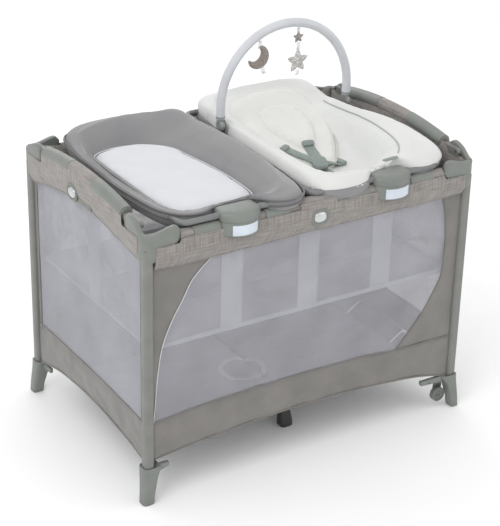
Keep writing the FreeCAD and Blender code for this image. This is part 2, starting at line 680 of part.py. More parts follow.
# Each latch housing is a U of plastic in the middle of a rail, with a sprung button.
cheek_in = "channel / 2"
cheek_out = "channel / 2 + cheek"
latch_pins = [rod("pin", "channel + 4", middle, "leg_deep - channel / 2 - 2", "long_height",
                  ALONG_Y) for middle in ("-long_joint", "long_joint")]
button_room = "button_wide / 2 + button_play"
back_of_button = f"leg_deep + {cheek_out} + button_proud - button_deep"
back_latch = join(
    cut(block(("-latch_half", "latch_half"), (f"leg_deep - ({cheek_out})", f"leg_deep + {cheek_out}"),
              ("latch_foot", "latch_top")),
        block(("-latch_half - 1", "latch_half + 1"),
              (f"leg_deep - {cheek_in}", f"leg_deep + {cheek_in}"), ("latch_sill", "latch_top + 1")),
        block((f"-({button_room})", button_room),
              (f"{back_of_button} - button_travel - 0.5", f"leg_deep + {cheek_out} + 1"),
              ("button_level - button_tall / 2 - button_play",
               "button_level + button_tall / 2 + button_play"))),
    *latch_pins)
keep(back_latch, "latch_back")
keep(mirror(back_latch, "y"), "latch_front")
back_button = rounded(
    block(("-button_wide / 2", "button_wide / 2"), (back_of_button, f"{back_of_button} + button_deep"),
          ("button_level - button_tall / 2", "button_level + button_tall / 2")),
    5, lambda edge: abs(edge.tangentAt(edge.FirstParameter).y) > 0.99)
keep(back_button, "button_back")
keep(mirror(back_button, "y"), "button_front")

side_pins = [rod("pin", "channel + 4", "leg_across - channel / 2 - 2", middle, "short_height",
                 ALONG_X, ALONG_Z) for middle in ("-short_joint", "short_joint")]
side_of_button = f"leg_across + {cheek_out} + button_proud - button_deep"
right_latch = join(
    cut(block((f"leg_across - ({cheek_out})", f"leg_across + {cheek_out}"),
              ("-short_latch_half", "short_latch_half"), ("short_latch_foot", "short_latch_top")),
        block((f"leg_across - {cheek_in}", f"leg_across + {cheek_in}"),
              ("-short_latch_half - 1", "short_latch_half + 1"),
              ("short_latch_sill", "short_latch_top + 1")),
        block((f"{side_of_button} - button_travel - 0.5", f"leg_across + {cheek_out} + 1"),
              (f"short_button_deep - ({button_room})", f"short_button_deep + {button_room}"),
              ("short_button_level - button_low / 2 - button_play",
               "short_button_level + button_low / 2 + button_play"))),
    *side_pins)
keep(right_latch, "latch_right")
keep(mirror(right_latch, "x"), "latch_left")
right_button = rounded(
    block((side_of_button, f"{side_of_button} + button_deep"),
          ("short_button_deep - button_wide / 2", "short_button_deep + button_wide / 2"),
          ("short_button_level - button_low / 2", "short_button_level + button_low / 2")),
    5, lambda edge: abs(edge.tangentAt(edge.FirstParameter).x) > 0.99)
keep(right_button, "button_right")
keep(mirror(right_button, "x"), "button_left")

# ---------------------------------------------------------------- folding floor frame

lug_holes = []
lug_discs = []
for x, y in (("hub_across", "hub_deep"), ("knuckle_across", "knuckle_deep")):
    lug_discs.append(crosswise("lug_half", x, y, "-lug_thick / 2", "lug_thick / 2"))
    lug_holes.append(crosswise("small_pin + running", x, y, "-lug_thick / 2 - 1", "lug_thick / 2 + 1"))
lug_sides = ("-lug_thick / 2", "lug_thick / 2")
lug_low = "floor_height - lug_half"
lug_high = "floor_height + lug_half"
floor_tube = cut(
    join(rod("floor_tube", f"{tube_span:.6f} - 2 * floor_gap",
             f"hub_across + floor_gap * {outward.x:.8f}",
             f"hub_deep + floor_gap * {outward.y:.8f}", "floor_height", outward, ALONG_Z),
         beside("hub_across", "hub_deep", 0, "floor_gap + 5", lug_sides, lug_low, lug_high),
         beside("knuckle_across", "knuckle_deep", "-floor_gap - 5", 0, lug_sides, lug_low, lug_high),
         *lug_discs),
    *lug_holes)
four_corners(floor_tube, "floor_tube")

# The hub is a moulded plate. Its forks hang below it, so that every tube folds down.
plate_low = "floor_height + lug_half + hub_play"
hub_pieces = [block(("-hub_half", "hub_half"), ("-hub_half_deep", "hub_half_deep"),
                    (plate_low, "shell_foot - hub_play")),
              block(("-core_half", "core_half"), ("-core_half_deep", "core_half_deep"),
                    ("floor_height - core_drop", plate_low))]
quarter = join(*fork("hub_across", "hub_deep", -12, 0, "floor_height - floor_tube", plate_low))
half = join(quarter, mirror(quarter, "x"))
hub_pieces += [half, mirror(half, "y")]
arm_room = "centre_arm / 2 + hinge_play"
ears_from = f"centre_across - ({arm_room}) - ear"
ears = [block(side, ("hub_deep - 16", "hub_deep + 8"), ("floor_height - 10", plate_low))
        for side in ((ears_from, f"centre_across - ({arm_room})"),
                     (f"centre_across + {arm_room}", f"centre_across + {arm_room} + ear"))]
ears.append(rod("small_pin", f"2 * ({arm_room} + ear)", ears_from, "hub_deep", "floor_height",
                ALONG_X, ALONG_Z))
far_ears = join(*ears)
hub_pieces += [mirror(far_ears, "x"), mirror(far_ears, "y")]
keep(join(*hub_pieces), "floor_hub")

# Two centre legs reach from the hub down to pads on the floor.
centre_leg = cut(
    join(drawn("yz", [("hub_deep + 3", "floor_height + 5"), ("hub_deep - 3", "floor_height - 5"),
                      ("centre_reach - 14", 4), ("centre_reach - 2", 16)],
               "centre_arm", x="centre_across"),
         rod("lug_half", "centre_arm", "centre_across - centre_arm / 2", "hub_deep",
             "floor_height", ALONG_X, ALONG_Z),
         block(("pad_from", "pad_from + pad_wide"),
               ("centre_reach - pad_half_deep", "centre_reach + pad_half_deep"),
               (0, "sole_thick"))),
    rod("small_pin + running", "centre_arm + 2", "centre_across - centre_arm / 2 - 1",
        "hub_deep", "floor_height", ALONG_X, ALONG_Z))
keep(mirror(centre_leg, "y"), "centre_leg_front")
keep(mirror(centre_leg, "x"), "centre_leg_back")

# ---------------------------------------------------------------- soft parts on the frame

end_wall = ("leg_across - 2", "leg_across + cloth - 2")
shell_pieces = [block(("-shell_across", "shell_across"), ("-(leg_deep + cloth)", "leg_deep + cloth"),
                      ("shell_foot", "shell_foot + cloth")),
                block((f"-({end_wall[1]})", end_wall[1]), ("-shell_deep", "shell_deep"),
                      ("shell_foot", "shell_foot + cloth"))]
back_wall = block(("-shell_across", "shell_across"), ("leg_deep", "leg_deep + cloth"),
                  ("shell_foot", "shell_top"))
right_wall = block(end_wall, ("-shell_deep", "shell_deep"), ("shell_foot", "shell_top"))
shell_pieces += [back_wall, mirror(back_wall, "y"), right_wall, mirror(right_wall, "x")]
keep(join(*shell_pieces), "fabric_shell")


def tub(half_across, half_deep, wall, foot, top, base):
    """An open box of cloth: its outside half sizes, its wall, and its floor's thickness."""
    return cut(block((f"-{half_across}", half_across), (f"-{half_deep}", half_deep), (foot, top)),
               block((f"-{half_across} + {wall}", f"{half_across} - {wall}"),
                     (f"-{half_deep} + {wall}", f"{half_deep} - {wall}"),
                     (f"{foot} + {base}", f"{top} + 1")))


keep(tub("bassinet_across", "bassinet_deep", "cloth", "bassinet_floor", "bassinet_top",
         "bassinet_base"), "bassinet")

mattress_low = "shell_foot + cloth + mattress_play"
right_mattress = block(("mattress_split", "mattress_across"), ("-mattress_deep", "mattress_deep"),
                       (mattress_low, f"{mattress_low} + mattress_thick"))
keep(right_mattress, "mattress_right")
keep(mirror(right_mattress, "x"), "mattress_left")

# ---------------------------------------------------------------- clamp pods and carry frames

pod_left = "pod_middle - pod_half"
pod_right = "pod_middle + pod_half"


def bend(x, y, start):
    """A quarter turn of carry tube about x, y, beginning on the side `start`."""
    thing = doc.addObject("Part::Torus", "Bend")
    bind(thing, Radius1="carry_bend", Radius2="carry_tube", Angle3=90)
    return put(thing, x, y, "carry_height", aim(ALONG_Z, start))


def ring(left, right):
    """A carry frame: a rectangle of bent tube, lying over both long rails."""
    inner_left = f"{left} + carry_bend"
    inner_right = f"{right} - carry_bend"
    inner_deep = "leg_deep - carry_bend"
    straights = [rod("carry_tube", f"{inner_right} - ({inner_left})", inner_left, side,
                     "carry_height", ALONG_X, ALONG_Z) for side in ("-leg_deep", "leg_deep")]
    straights += [rod("carry_tube", f"2 * ({inner_deep})", end, f"-({inner_deep})",
                      "carry_height", ALONG_Y) for end in (left, right)]
    bends = [bend(inner_right, inner_deep, ALONG_X), bend(inner_left, inner_deep, ALONG_Y),
             bend(inner_left, f"-({inner_deep})", -ALONG_X),
             bend(inner_right, f"-({inner_deep})", -ALONG_Y)]
    return join(*straights, *bends)


def pod_blank():
    """A back pod: D-shaped from above, hollow below, where it drops over the rail."""
    front_arc = rod("pod_curve", "pod_top - pod_foot", "pod_middle", "pod_front - pod_curve",
                    "pod_foot")
    plan = block((pod_left, pod_right), ("pod_back", "pod_front"), ("pod_foot", "pod_top"))
    slot = block((f"{pod_left} - 1", f"{pod_right} + 1"), ("slot_in", "slot_out"),
                 ("pod_foot - 1", "pod_roof"))
    under_lip = block((f"{pod_left} - 1", f"{pod_right} + 1"), ("pod_back - 1", "slot_out"),
                      ("pod_foot - 1", "lip_foot"))
    return cut(common(front_arc, plan), slot, under_lip)


napper_ring = ring("napper_left", "napper_right")
changer_ring = ring("changer_left", "changer_right")
back_pod = pod_blank()
pod_pair = join(back_pod, mirror(back_pod, "y"))
keep(cut(pod_pair, napper_ring), "napper_pods")
keep(cut(mirror(pod_pair, "x"), changer_ring), "changer_pods")
keep(changer_ring, "changer_frame")


def pod_notches(middle, low, high):
    """Two blocks that keep an accessory's rim clear of its pods."""
    return [block((f"{middle} - pod_half - 2", f"{middle} + pod_half + 2"), side, (low, high))
            for side in (("pod_back - 2", "pod_front"), ("-pod_front", "-(pod_back - 2)"))]


# ---------------------------------------------------------------- changing table

rim_top = "rim_foot + rim_thick"
tray = ("changer_left + carry_tube + 5", "changer_right - carry_tube - 5")
changer_cover = cut(
    join(block(("changer_rim_left", "changer_rim_right"), ("-rim_deep", "rim_deep"),
               ("rim_foot", rim_top)),
         block(tray, ("-tray_deep", "tray_deep"), ("tray_foot", rim_top))),
    block((f"{tray[0]} + tray_wall", f"{tray[1]} - tray_wall"),
          ("-tray_deep + tray_wall", "tray_deep - tray_wall"),
          ("tray_foot + tray_wall", f"{rim_top} + 1")),
    *pod_notches("-pod_middle", "rim_foot - 1", f"{rim_top} + 1"))
keep(changer_cover, "changer_cover")
pad_inset = "tray_wall + changer_pad_gap"
changer_pad = rounded(
    block((f"{tray[0]} + {pad_inset}", f"{tray[1]} - ({pad_inset})"),
          (f"-tray_deep + {pad_inset}", f"tray_deep - ({pad_inset})"),
          ("tray_foot + tray_wall", "tray_foot + tray_wall + changer_pad_thick")),
    "padding_round", upright)
keep(changer_pad, "changer_pad")

# ---------------------------------------------------------------- newborn lounger

# The cushion is wider at its foot end. Its seat slopes up towards the head.
foot_right = "napper_right + cushion_flare"
outline = [("cushion_left", "-rim_deep"), (foot_right, "-rim_deep"), (foot_right, -60),
           ("napper_right - 2", 100), ("napper_right - 2", "rim_deep"),
           ("cushion_left", "rim_deep")]
seat_level = "rim_foot - seat_drop"
sling_level = "rim_foot - sling_drop"
seat = (45, 365)
shell = (28, 380)
underside = [("-tray_deep", "rim_foot"), ("-tray_deep + 22", sling_level),
             (-50, sling_level), ("tray_deep - 40", "rim_foot - 22"), ("tray_deep", "rim_foot")]
hollow = [("-tray_deep + 30", "cushion_top + 1"), ("-tray_deep + 52", seat_level),
          (-60, seat_level), ("tray_deep - 60", "rim_foot - 6"),
          ("tray_deep - 30", "cushion_top + 1")]


def trough(points, sides):
    """A length along X of an outline in Y and Z."""
    return drawn("yz", points, f"{sides[1]} - {sides[0]}", x=f"({sides[0]} + {sides[1]}) / 2")


napper_cushion = cut(
    join(drawn("xy", outline, "cushion_top - rim_foot", z="(cushion_top + rim_foot) / 2",
               soften=("padding_round", upright)),
         trough(underside, shell)),
    trough(hollow, seat),
    *pod_notches("pod_middle", "rim_foot - 1", "cushion_top + 1"))
keep(napper_cushion, "napper_cushion")

harness_middle = "(napper_left + napper_right) / 2 + 8"


def harness_block(reach, deep_from, deep_to, thick):
    """A flat piece of the harness, lying on the seat about its middle line."""
    return block((f"{harness_middle} - {reach}", f"{harness_middle} + {reach}"),
                 (deep_from, deep_to), (seat_level, f"{seat_level} + {thick}"))


keep(join(harness_block("buckle_half", "buckle_middle - buckle_half_deep",
                        "buckle_middle + buckle_half_deep", "buckle_thick"),
          harness_block("belt_reach", "buckle_middle - belt_half",
                        "buckle_middle + belt_half", "webbing"),
          harness_block("belt_half", "crotch_from", "buckle_middle + buckle_half_deep",
                        "webbing")),
     "napper_harness")

# The toy arch turns on two pins that stand out of plates on the lounger's frame. Each
# plate is on the inner side of its disc.
disc_half = "boss_thick / 2"
plate_sides = ((f"arch_left + {disc_half} + boss_play",
                f"arch_left + {disc_half} + boss_play + boss_plate"),
               (f"arch_right - {disc_half} - boss_play - boss_plate",
                f"arch_right - {disc_half} - boss_play"))
pin_from = (f"arch_left - {disc_half} + 1", "arch_right - 10")
mounts = []
for sides, pin_start in zip(plate_sides, pin_from):
    mounts += [block(sides, ("arch_deep - boss", "arch_deep + boss"),
                     ("carry_height", "arch_hinge")),
               rod("boss", "boss_plate", sides[0], "arch_deep", "arch_hinge", ALONG_X, ALONG_Z),
               rod("pin", "boss_thick + boss_plate - 1", pin_start, "arch_deep", "arch_hinge",
                   ALONG_X, ALONG_Z)]
keep(join(napper_ring, *mounts), "napper_frame")

# ---------------------------------------------------------------- toy arch and toys

arch_pieces = []
for leg in ("arch_left", "arch_right"):
    disc_from = f"{leg} - {disc_half}"
    arch_pieces.append(cut(
        join(rod("boss", "boss_thick", disc_from, "arch_deep", "arch_hinge", ALONG_X, ALONG_Z),
             block((disc_from, f"{leg} + {disc_half}"), ("arch_deep - 8", "arch_deep + 8"),
                   ("arch_hinge", "arch_hinge + boss_gap + 2"))),
        rod("pin + running", "boss_thick + 2", f"{disc_from} - 1", "arch_deep", "arch_hinge",
            ALONG_X, ALONG_Z)))
    arch_pieces.append(rod("arch_tube", "arch_spring - arch_hinge - boss_gap", leg, "arch_deep",
                           "arch_hinge + boss_gap"))
arch_bow = doc.addObject("Part::Torus", "Bow")
bind(arch_bow, Radius1="(arch_right - (arch_left)) / 2", Radius2="arch_tube", Angle3=180)
put(arch_bow, "(arch_left + arch_right) / 2", "arch_deep", "arch_spring",
    aim(Vector(0, -1, 0), ALONG_X))
arch_pieces.append(arch_bow)
keep(join(*arch_pieces), "toy_arch")


def toy_ribbon(x, low, high):
    """The flat ribbon that a toy hangs on."""
    return block((f"{x} - 5", f"{x} + 5"), ("arch_deep - 1", "arch_deep + 1"), (low, high))


toy_front = "arch_deep - toy_thick / 2"
moon = cut(
    rod("moon_radius", "toy_thick", "moon_across", toy_front, "moon_height", ALONG_Y),
    rod("moon_radius * 0.82", "toy_thick + 2", "moon_across - moon_radius * 0.5",
        f"{toy_front} - 1", "moon_height + moon_radius * 0.32", ALONG_Y))
keep(join(moon, toy_ribbon("moon_across", "moon_height + moon_radius * 0.7",
                           "moon_height + moon_radius + 1")), "toy_moon")


def star(radius, height):
    """A five-pointed star with its points up, across and down."""
    points = []
    for step in range(10):
        angle = math.radians(90 + 36 * step)
        reach = 1 if step % 2 == 0 else 0.55
        points.append((f"star_across + {radius} * {reach * math.cos(angle):.6f}",
                       f"{height} + {radius} * {reach * math.sin(angle):.6f}"))
    return drawn("xz", points, "toy_thick", y="arch_deep")


toy_star = join(star("star_radius", "star_height"),
                star("star_radius * 0.5", "star_height + 70"),
                toy_ribbon("star_across", "star_height - star_radius - 4", "star_height + 98"))
keep(toy_star, "toy_star")

# ---------------------------------------------------------------- check and write

doc.recompute()
for thing in doc.Objects:
    if "Invalid" in thing.State or "Error" in thing.State:
        raise RuntimeError(f"{thing.Name} ({thing.Label}) failed: {thing.State}")
os.makedirs("parts", exist_ok=True)
for label, thing in parts.items():
    shape = thing.Shape
    if shape.isNull() or not shape.isValid() or not shape.Solids:
        raise RuntimeError(f"{label} has no valid solid")
    shape.exportStep(f"parts/{label}.step")
    print(f"{label:24s} {len(shape.Solids)} solid(s) {shape.Volume / 1000:9.1f} cm3")
print(len(parts), "nodes")
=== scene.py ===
"""Travel play yard: looks for the folding cot, its changing table and its newborn lounger."""
import math

import bpy
import bmesh
from mathutils import Matrix, Vector, noise
from mathutils.bvhtree import BVHTree


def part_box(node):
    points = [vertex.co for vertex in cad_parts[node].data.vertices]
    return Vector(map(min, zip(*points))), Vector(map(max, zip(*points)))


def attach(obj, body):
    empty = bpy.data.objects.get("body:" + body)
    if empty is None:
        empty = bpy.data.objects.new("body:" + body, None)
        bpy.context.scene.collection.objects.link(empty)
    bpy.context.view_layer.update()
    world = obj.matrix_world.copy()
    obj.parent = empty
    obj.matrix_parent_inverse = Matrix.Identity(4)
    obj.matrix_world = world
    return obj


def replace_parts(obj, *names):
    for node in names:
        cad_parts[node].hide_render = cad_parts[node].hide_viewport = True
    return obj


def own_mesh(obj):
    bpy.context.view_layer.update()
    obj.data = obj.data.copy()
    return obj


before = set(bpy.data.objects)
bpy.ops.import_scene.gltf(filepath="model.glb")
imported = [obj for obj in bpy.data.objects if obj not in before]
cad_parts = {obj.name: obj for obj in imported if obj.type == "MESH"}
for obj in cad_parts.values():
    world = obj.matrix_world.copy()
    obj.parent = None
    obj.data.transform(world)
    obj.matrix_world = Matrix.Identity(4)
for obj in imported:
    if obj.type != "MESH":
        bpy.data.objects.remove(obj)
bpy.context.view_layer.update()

# ---- Studio ------------------------------------------------------------------------
# A pale floor under soft light, and a long lens that looks down on the front left
# corner of the cot.

MM = 0.001
scene = bpy.context.scene
scene.view_settings.view_transform = "Standard"

turn_left, tilt_down, roll = math.radians(-32.496), math.radians(25.894), math.radians(1.393)
back = Vector((math.sin(turn_left) * math.cos(tilt_down),
               -math.cos(turn_left) * math.cos(tilt_down), math.sin(tilt_down)))
level = Vector((0, 0, 1)).cross(back).normalized()
up = back.cross(level)
right = level * math.cos(roll) + up * math.sin(roll)
top = up * math.cos(roll) - level * math.sin(roll)
lens = bpy.data.cameras.new("camera")
lens.lens = 110.58
lens.sensor_width = 36
lens.clip_end = 50
camera = bpy.data.objects.new("camera", lens)
camera.matrix_world = Matrix.Translation((-2.21729, -3.50095, 2.45399)) @ Matrix(
    (right, top, back)).transposed().to_4x4()
scene.collection.objects.link(camera)
scene.camera = camera


def linear(red, green, blue):
    """A screen colour, 0 to 255, as the light that a shader mixes."""
    def channel(value):
        value /= 255
        return value / 12.92 if value <= 0.04045 else ((value + 0.055) / 1.055) ** 2.4
    return channel(red), channel(green), channel(blue), 1.0


world = bpy.data.worlds.new("studio")
scene.world = world
world.use_nodes = True
world.node_tree.nodes["Background"].inputs["Color"].default_value = (1.0, 1.0, 1.0, 1)
world.node_tree.nodes["Background"].inputs["Strength"].default_value = 0.98


def area_light(name, place, aim, width, power):
    """A soft square light that points at a place."""
    data = bpy.data.lights.new(name, "AREA")
    data.size = width
    data.energy = power
    lamp = bpy.data.objects.new(name, data)
    lamp.location = place
    lamp.rotation_euler = (Vector(aim) - Vector(place)).to_track_quat("-Z", "Y").to_euler()
    scene.collection.objects.link(lamp)


area_light("key", (-2.6, -1.4, 3.4), (0, 0, 0.5), 2.4, 46)
area_light("fill", (2.6, -2.6, 2.0), (0, 0, 0.5), 2.6, 10)
area_light("rim", (0.6, 3.0, 2.6), (0, 0, 0.6), 2.4, 20)


class Wire:
    """An output of a shader node, on which arithmetic can be written."""

    def __init__(self, finish, socket):
        self.finish = finish
        self.socket = socket

    def math(self, operation, first, second=0.0):
        return self.finish.node("ShaderNodeMath", {"operation": operation}, first, second)

    def __add__(self, other):
        return self.math("ADD", self, other)

    def __sub__(self, other):
        return self.math("SUBTRACT", self, other)

    def __mul__(self, other):
        return self.math("MULTIPLY", self, other)

    def __rsub__(self, other):
        return self.math("SUBTRACT", other, self)

    def __lt__(self, other):
        return self.math("LESS_THAN", self, other)

    def __gt__(self, other):
        return self.math("GREATER_THAN", self, other)

    def wave(self):
        return self.math("SINE", self)

    def size(self):
        return self.math("ABSOLUTE", self)

    __radd__ = __add__
    __rmul__ = __mul__


class Finish:
    """A material, and the one way in which nodes are added to it."""

    def __init__(self, name, **sockets):
        self.material = bpy.data.materials.new(name)
        self.material.use_nodes = True
        self.tree = self.material.node_tree
        self.shader = self.tree.nodes["Principled BSDF"]
        for socket, value in sockets.items():
            self.shader.inputs[socket.replace("_", " ")].default_value = value
        place = self.tree.nodes.new("ShaderNodeTexCoord")
        self.place = Wire(self, place.outputs["Object"])
        split = self.tree.nodes.new("ShaderNodeSeparateXYZ")
        self.tree.links.new(place.outputs["Object"], split.inputs[0])
        self.x, self.y, self.z = (Wire(self, output) for output in split.outputs)

    def feed(self, socket, value):
        if isinstance(value, Wire):
            self.tree.links.new(value.socket, socket)
        elif value is not None:
            socket.default_value = value

    def node(self, kind, settings=None, *values, output=0, **named):
        """Add a node: its settings first, then what its sockets hold, in order or by name."""
        added = self.tree.nodes.new(kind)
        for key, value in (settings or {}).items():
            if key == "stops":
                ramp = added.color_ramp
                while len(ramp.elements) < len(value):
                    ramp.elements.new(1.0)
                for stop, (position, colour) in zip(ramp.elements, value):
                    stop.position = position
                    stop.color = colour
            else:
                setattr(added, key, value)
        for socket, value in zip(added.inputs, values):
            self.feed(socket, value)
        for name, value in named.items():
            self.feed(added.inputs[name], value)
        return Wire(self, added.outputs[output])

    def noise(self, scale, detail=2.0, place=None, rough=0.5):
        return self.node("ShaderNodeTexNoise", None, Vector=place or self.place, Scale=scale,
                         Detail=detail, Roughness=rough)

    def at(self, x, y, z=0.0):
        return self.node("ShaderNodeCombineXYZ", None, x, y, z)

    def mix(self, share, first, second):
        """Colours mixed by a share."""
        return self.node("ShaderNodeMix", {"data_type": "RGBA"}, share, None, None, None, None,
                         None, first, second, output=2)

    def ramp(self, value, low, high):
        """A value stretched so that low gives 0 and high gives 1."""
        return self.node("ShaderNodeMapRange", None, value, low, high, 0.0, 1.0)

    def set(self, socket, wire):
        self.feed(self.shader.inputs[socket], wire)

    def bump(self, height, distance, strength=1.0):
        self.set("Normal", self.node("ShaderNodeBump", None, Strength=strength,
                                     Distance=distance, Height=height))


floor_finish = Finish("floor", Roughness=0.85)
floor_finish.set("Base Color", floor_finish.mix(floor_finish.noise(3.0), linear(252, 252, 252),
                                                linear(248, 248, 248)))
floor_mesh = bpy.data.meshes.new("floor")
floor_mesh.from_pydata([(-9, -9, 0), (9, -9, 0), (9, 9, 0), (-9, 9, 0)], [], [(0, 1, 2, 3)])
floor_mesh.materials.append(floor_finish.material)
floor = bpy.data.objects.new("floor", floor_mesh)
scene.collection.objects.link(floor)

# ---- Posts, feet and casters ---------------------------------------------------------
# Four painted steel posts stand in moulded feet. The two right feet carry a small caster
# each, which touches the floor only when the folded cot is tipped to be rolled.

post_low, post_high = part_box("post_back_right")
LEG_ACROSS = round((post_low.x + post_high.x) / 2 / MM)
LEG_DEEP = round((post_low.y + post_high.y) / 2 / MM)
FOOT_TOP = 107
CORNERS = {"front_left": (-1, -1), "front_right": (1, -1), "back_left": (-1, 1),
           "back_right": (1, 1)}


def moulded(name, colour, gloss, grain=0.00012):
    """Moulded or painted surface: a faint mottle, paler worn patches and a fine grain."""
    finish = Finish(name, Roughness=gloss)
    shade = tuple(channel * 0.86 for channel in colour[:3]) + (1.0,)
    finish.set("Base Color", finish.mix(finish.ramp(finish.noise(22, 5), 0.3, 0.7), shade, colour))
    finish.set("Roughness", finish.noise(40, 3) * 0.2 + (gloss - 0.1))
    finish.bump(finish.noise(900, 2), grain, 0.5)
    return finish


def dress(finish, *nodes):
    """Give CAD nodes a finish."""
    for node in nodes:
        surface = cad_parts[node].data
        surface.materials.clear()
        surface.materials.append(finish.material)


def solid(name, points, faces, finish, body, slot, smooth=True):
    """A piece from points in millimetres, which rides on a body."""
    mesh = bpy.data.meshes.new(name)
    mesh.from_pydata([Vector(point) * MM for point in points], [], faces)
    mesh.materials.append(finish.material)
    build = bmesh.new()
    build.from_mesh(mesh)
    bmesh.ops.recalc_face_normals(build, faces=build.faces)
    build.to_mesh(mesh)
    build.free()
    for face in mesh.polygons:
        face.use_smooth = smooth
    made = bpy.data.objects.new(name, mesh)
    scene.collection.objects.link(made)
    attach(made, body)
    return made


def loft(rings, closed=False, capped=True):
    """Points and faces of a skin over closed rings of equal count."""
    count = len(rings[0])
    points = [point for ring in rings for point in ring]
    faces = []
    for row in range(len(rings) if closed else len(rings) - 1):
        here, there = row * count, (row + 1) % len(rings) * count
        for step in range(count):
            after = (step + 1) % count
            faces.append((here + step, here + after, there + after, there + step))
    if capped and not closed:
        faces.append(tuple(range(count))[::-1])
        faces.append(tuple(range(len(points) - count, len(points))))
    return points, faces


def square_ring(x, y, wide, deep, z, power=0.5, count=28):
    """A level ring, round for a power of 1 and squarer below it, from its half sizes."""
    ring = []
    for step in range(count):
        angle = 2 * math.pi * step / count
        across, along = math.cos(angle), math.sin(angle)
        ring.append((x + math.copysign(abs(across) ** power, across) * wide,
                     y + math.copysign(abs(along) ** power, along) * deep, z))
    return ring


def smooth_through(points, at):
    """The height at a place on a smooth curve through points in rising order."""
    if at <= points[0][0]:
        return points[0][1]
    if at >= points[-1][0]:
        return points[-1][1]
    slopes = []
    for index in range(len(points)):
        low, high = points[max(index - 1, 0)], points[min(index + 1, len(points) - 1)]
        slopes.append((high[1] - low[1]) / (high[0] - low[0]))
    for index in range(len(points) - 1):
        (start, low), (end, high) = points[index], points[index + 1]
        if at <= end:
            run = end - start
            t = (at - start) / run
            return ((2 * t ** 3 - 3 * t ** 2 + 1) * low + (t ** 3 - 2 * t ** 2 + t) * run * slopes[index]
                    + (3 * t ** 2 - 2 * t ** 3) * high + (t ** 3 - t ** 2) * run * slopes[index + 1])


def corner_shell(side, reach_x, reach_y, bend, heights, halves, lip=0.0, out=0.0):
    """Rings of a moulding that wraps a post: it runs along Y, turns the corner, runs along X."""
    across, deep = LEG_ACROSS + out, LEG_DEEP + out
    stations = []
    straight = deep - bend - reach_y
    for step in range(11):
        stations.append((across, reach_y + straight * step / 10, -straight * (1 - step / 10) - 1, 0.0))
    for step in range(1, 12):
        turn = math.pi / 2 * step / 12
        stations.append((across - bend + bend * math.cos(turn), deep - bend + bend * math.sin(turn),
                         0.0, turn))
    run = across - bend - reach_x
    for step in range(11):
        stations.append((across - bend - run * step / 10, deep, run * step / 10 + 1, math.pi / 2))
    rings = []
    for x, y, along, turn in stations:
        low, high = (smooth_through(heights[key], along) for key in (0, 1))
        half = smooth_through(halves, along)
        outward = Vector((math.cos(turn), math.sin(turn), 0))
        ring = []
        for step in range(28):
            angle = 2 * math.pi * step / 28
            flat = math.copysign(abs(math.cos(angle)) ** 0.42, math.cos(angle))
            rise = math.copysign(abs(math.sin(angle)) ** 0.42, math.sin(angle))
            height = (low + high) / 2 + (high - low) / 2 * rise
            swell = lip * max(0.0, 1 - (high - height) / 13) if height < high else lip
            place = Vector((x, y, height)) + outward * ((half + swell) * flat)
            ring.append((place.x * side[0], place.y * side[1], place.z))
        rings.append(ring)
    return rings


post_finish = moulded("post_paint", linear(124, 125, 121), 0.42)
plastic = moulded("grey_plastic", linear(123, 127, 122), 0.42)
caster_plastic = moulded("caster_plastic", linear(112, 116, 110), 0.45)
steel = moulded("zinc_steel", linear(120, 122, 124), 0.35)
steel.shader.inputs["Metallic"].default_value = 0.7
for corner, side in CORNERS.items():
    dress(post_finish, "post_" + corner)
    body = "leg_" + corner
    shift, slim = (4, 4) if side[0] > 0 else (0, 0)
    prong = [square_ring((x + shift) * side[0], y * side[1], wide - slim, deep, z)
             for x, y, wide, deep, z in ((511, 341, 15, 15, 0), (511, 341, 17, 17, 1.5),
                                         (508, 339, 18, 18, 30), (500, 333, 22, 20, 76))]
    prong += [square_ring(x * side[0], y * side[1], wide, deep, z) for x, y, wide, deep, z in
              ((495, 330, 26, 22, 98), (495, 330, 26, 22, FOOT_TOP - 1),
               (495, 330, 25, 21, FOOT_TOP), (498, 331, 19, 18, FOOT_TOP),
               (499, 331.5, 17, 17, FOOT_TOP - 4))]
    foot = solid("foot_prong_" + corner, *loft(prong), plastic, body, "grey_plastic")
    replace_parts(foot, "foot_" + corner)
    arm_end = 442 if side[0] < 0 else 396
    arms = []
    for run, rise in ((486, 11), (464, 10), (arm_end + 8, 7.5), (arm_end + 2, 7), (arm_end, 6)):
        ring = square_ring(0, 0, 7 if run > arm_end else 5.5, rise, 0)
        arms.append([(run * side[0], (LEG_DEEP + 1 + a) * side[1], FOOT_TOP - 1 - rise + b)
                     for a, b, _ in ring])
    solid("foot_arm_long_" + corner, *loft(arms), plastic, body, "grey_plastic")
    arms = []
    arm_end = 262 if side[1] > 0 else 296
    for run, rise in ((318, 11), (308, 10), (arm_end + 8, 8), (arm_end + 2, 7.5), (arm_end, 6.5)):
        ring = square_ring(0, 0, 5 if run > arm_end else 4, rise, 0)
        arms.append([((LEG_ACROSS - 5 + a) * side[0], run * side[1], FOOT_TOP - 1 - rise + b)
                     for a, b, _ in ring])
    solid("foot_arm_short_" + corner, *loft(arms), plastic, body, "grey_plastic")
WHEEL_ACROSS, WHEEL_HEIGHT, AXLE_ROUND = 464, 46, 10
dress(caster_plastic, "wheel_front", "wheel_back")
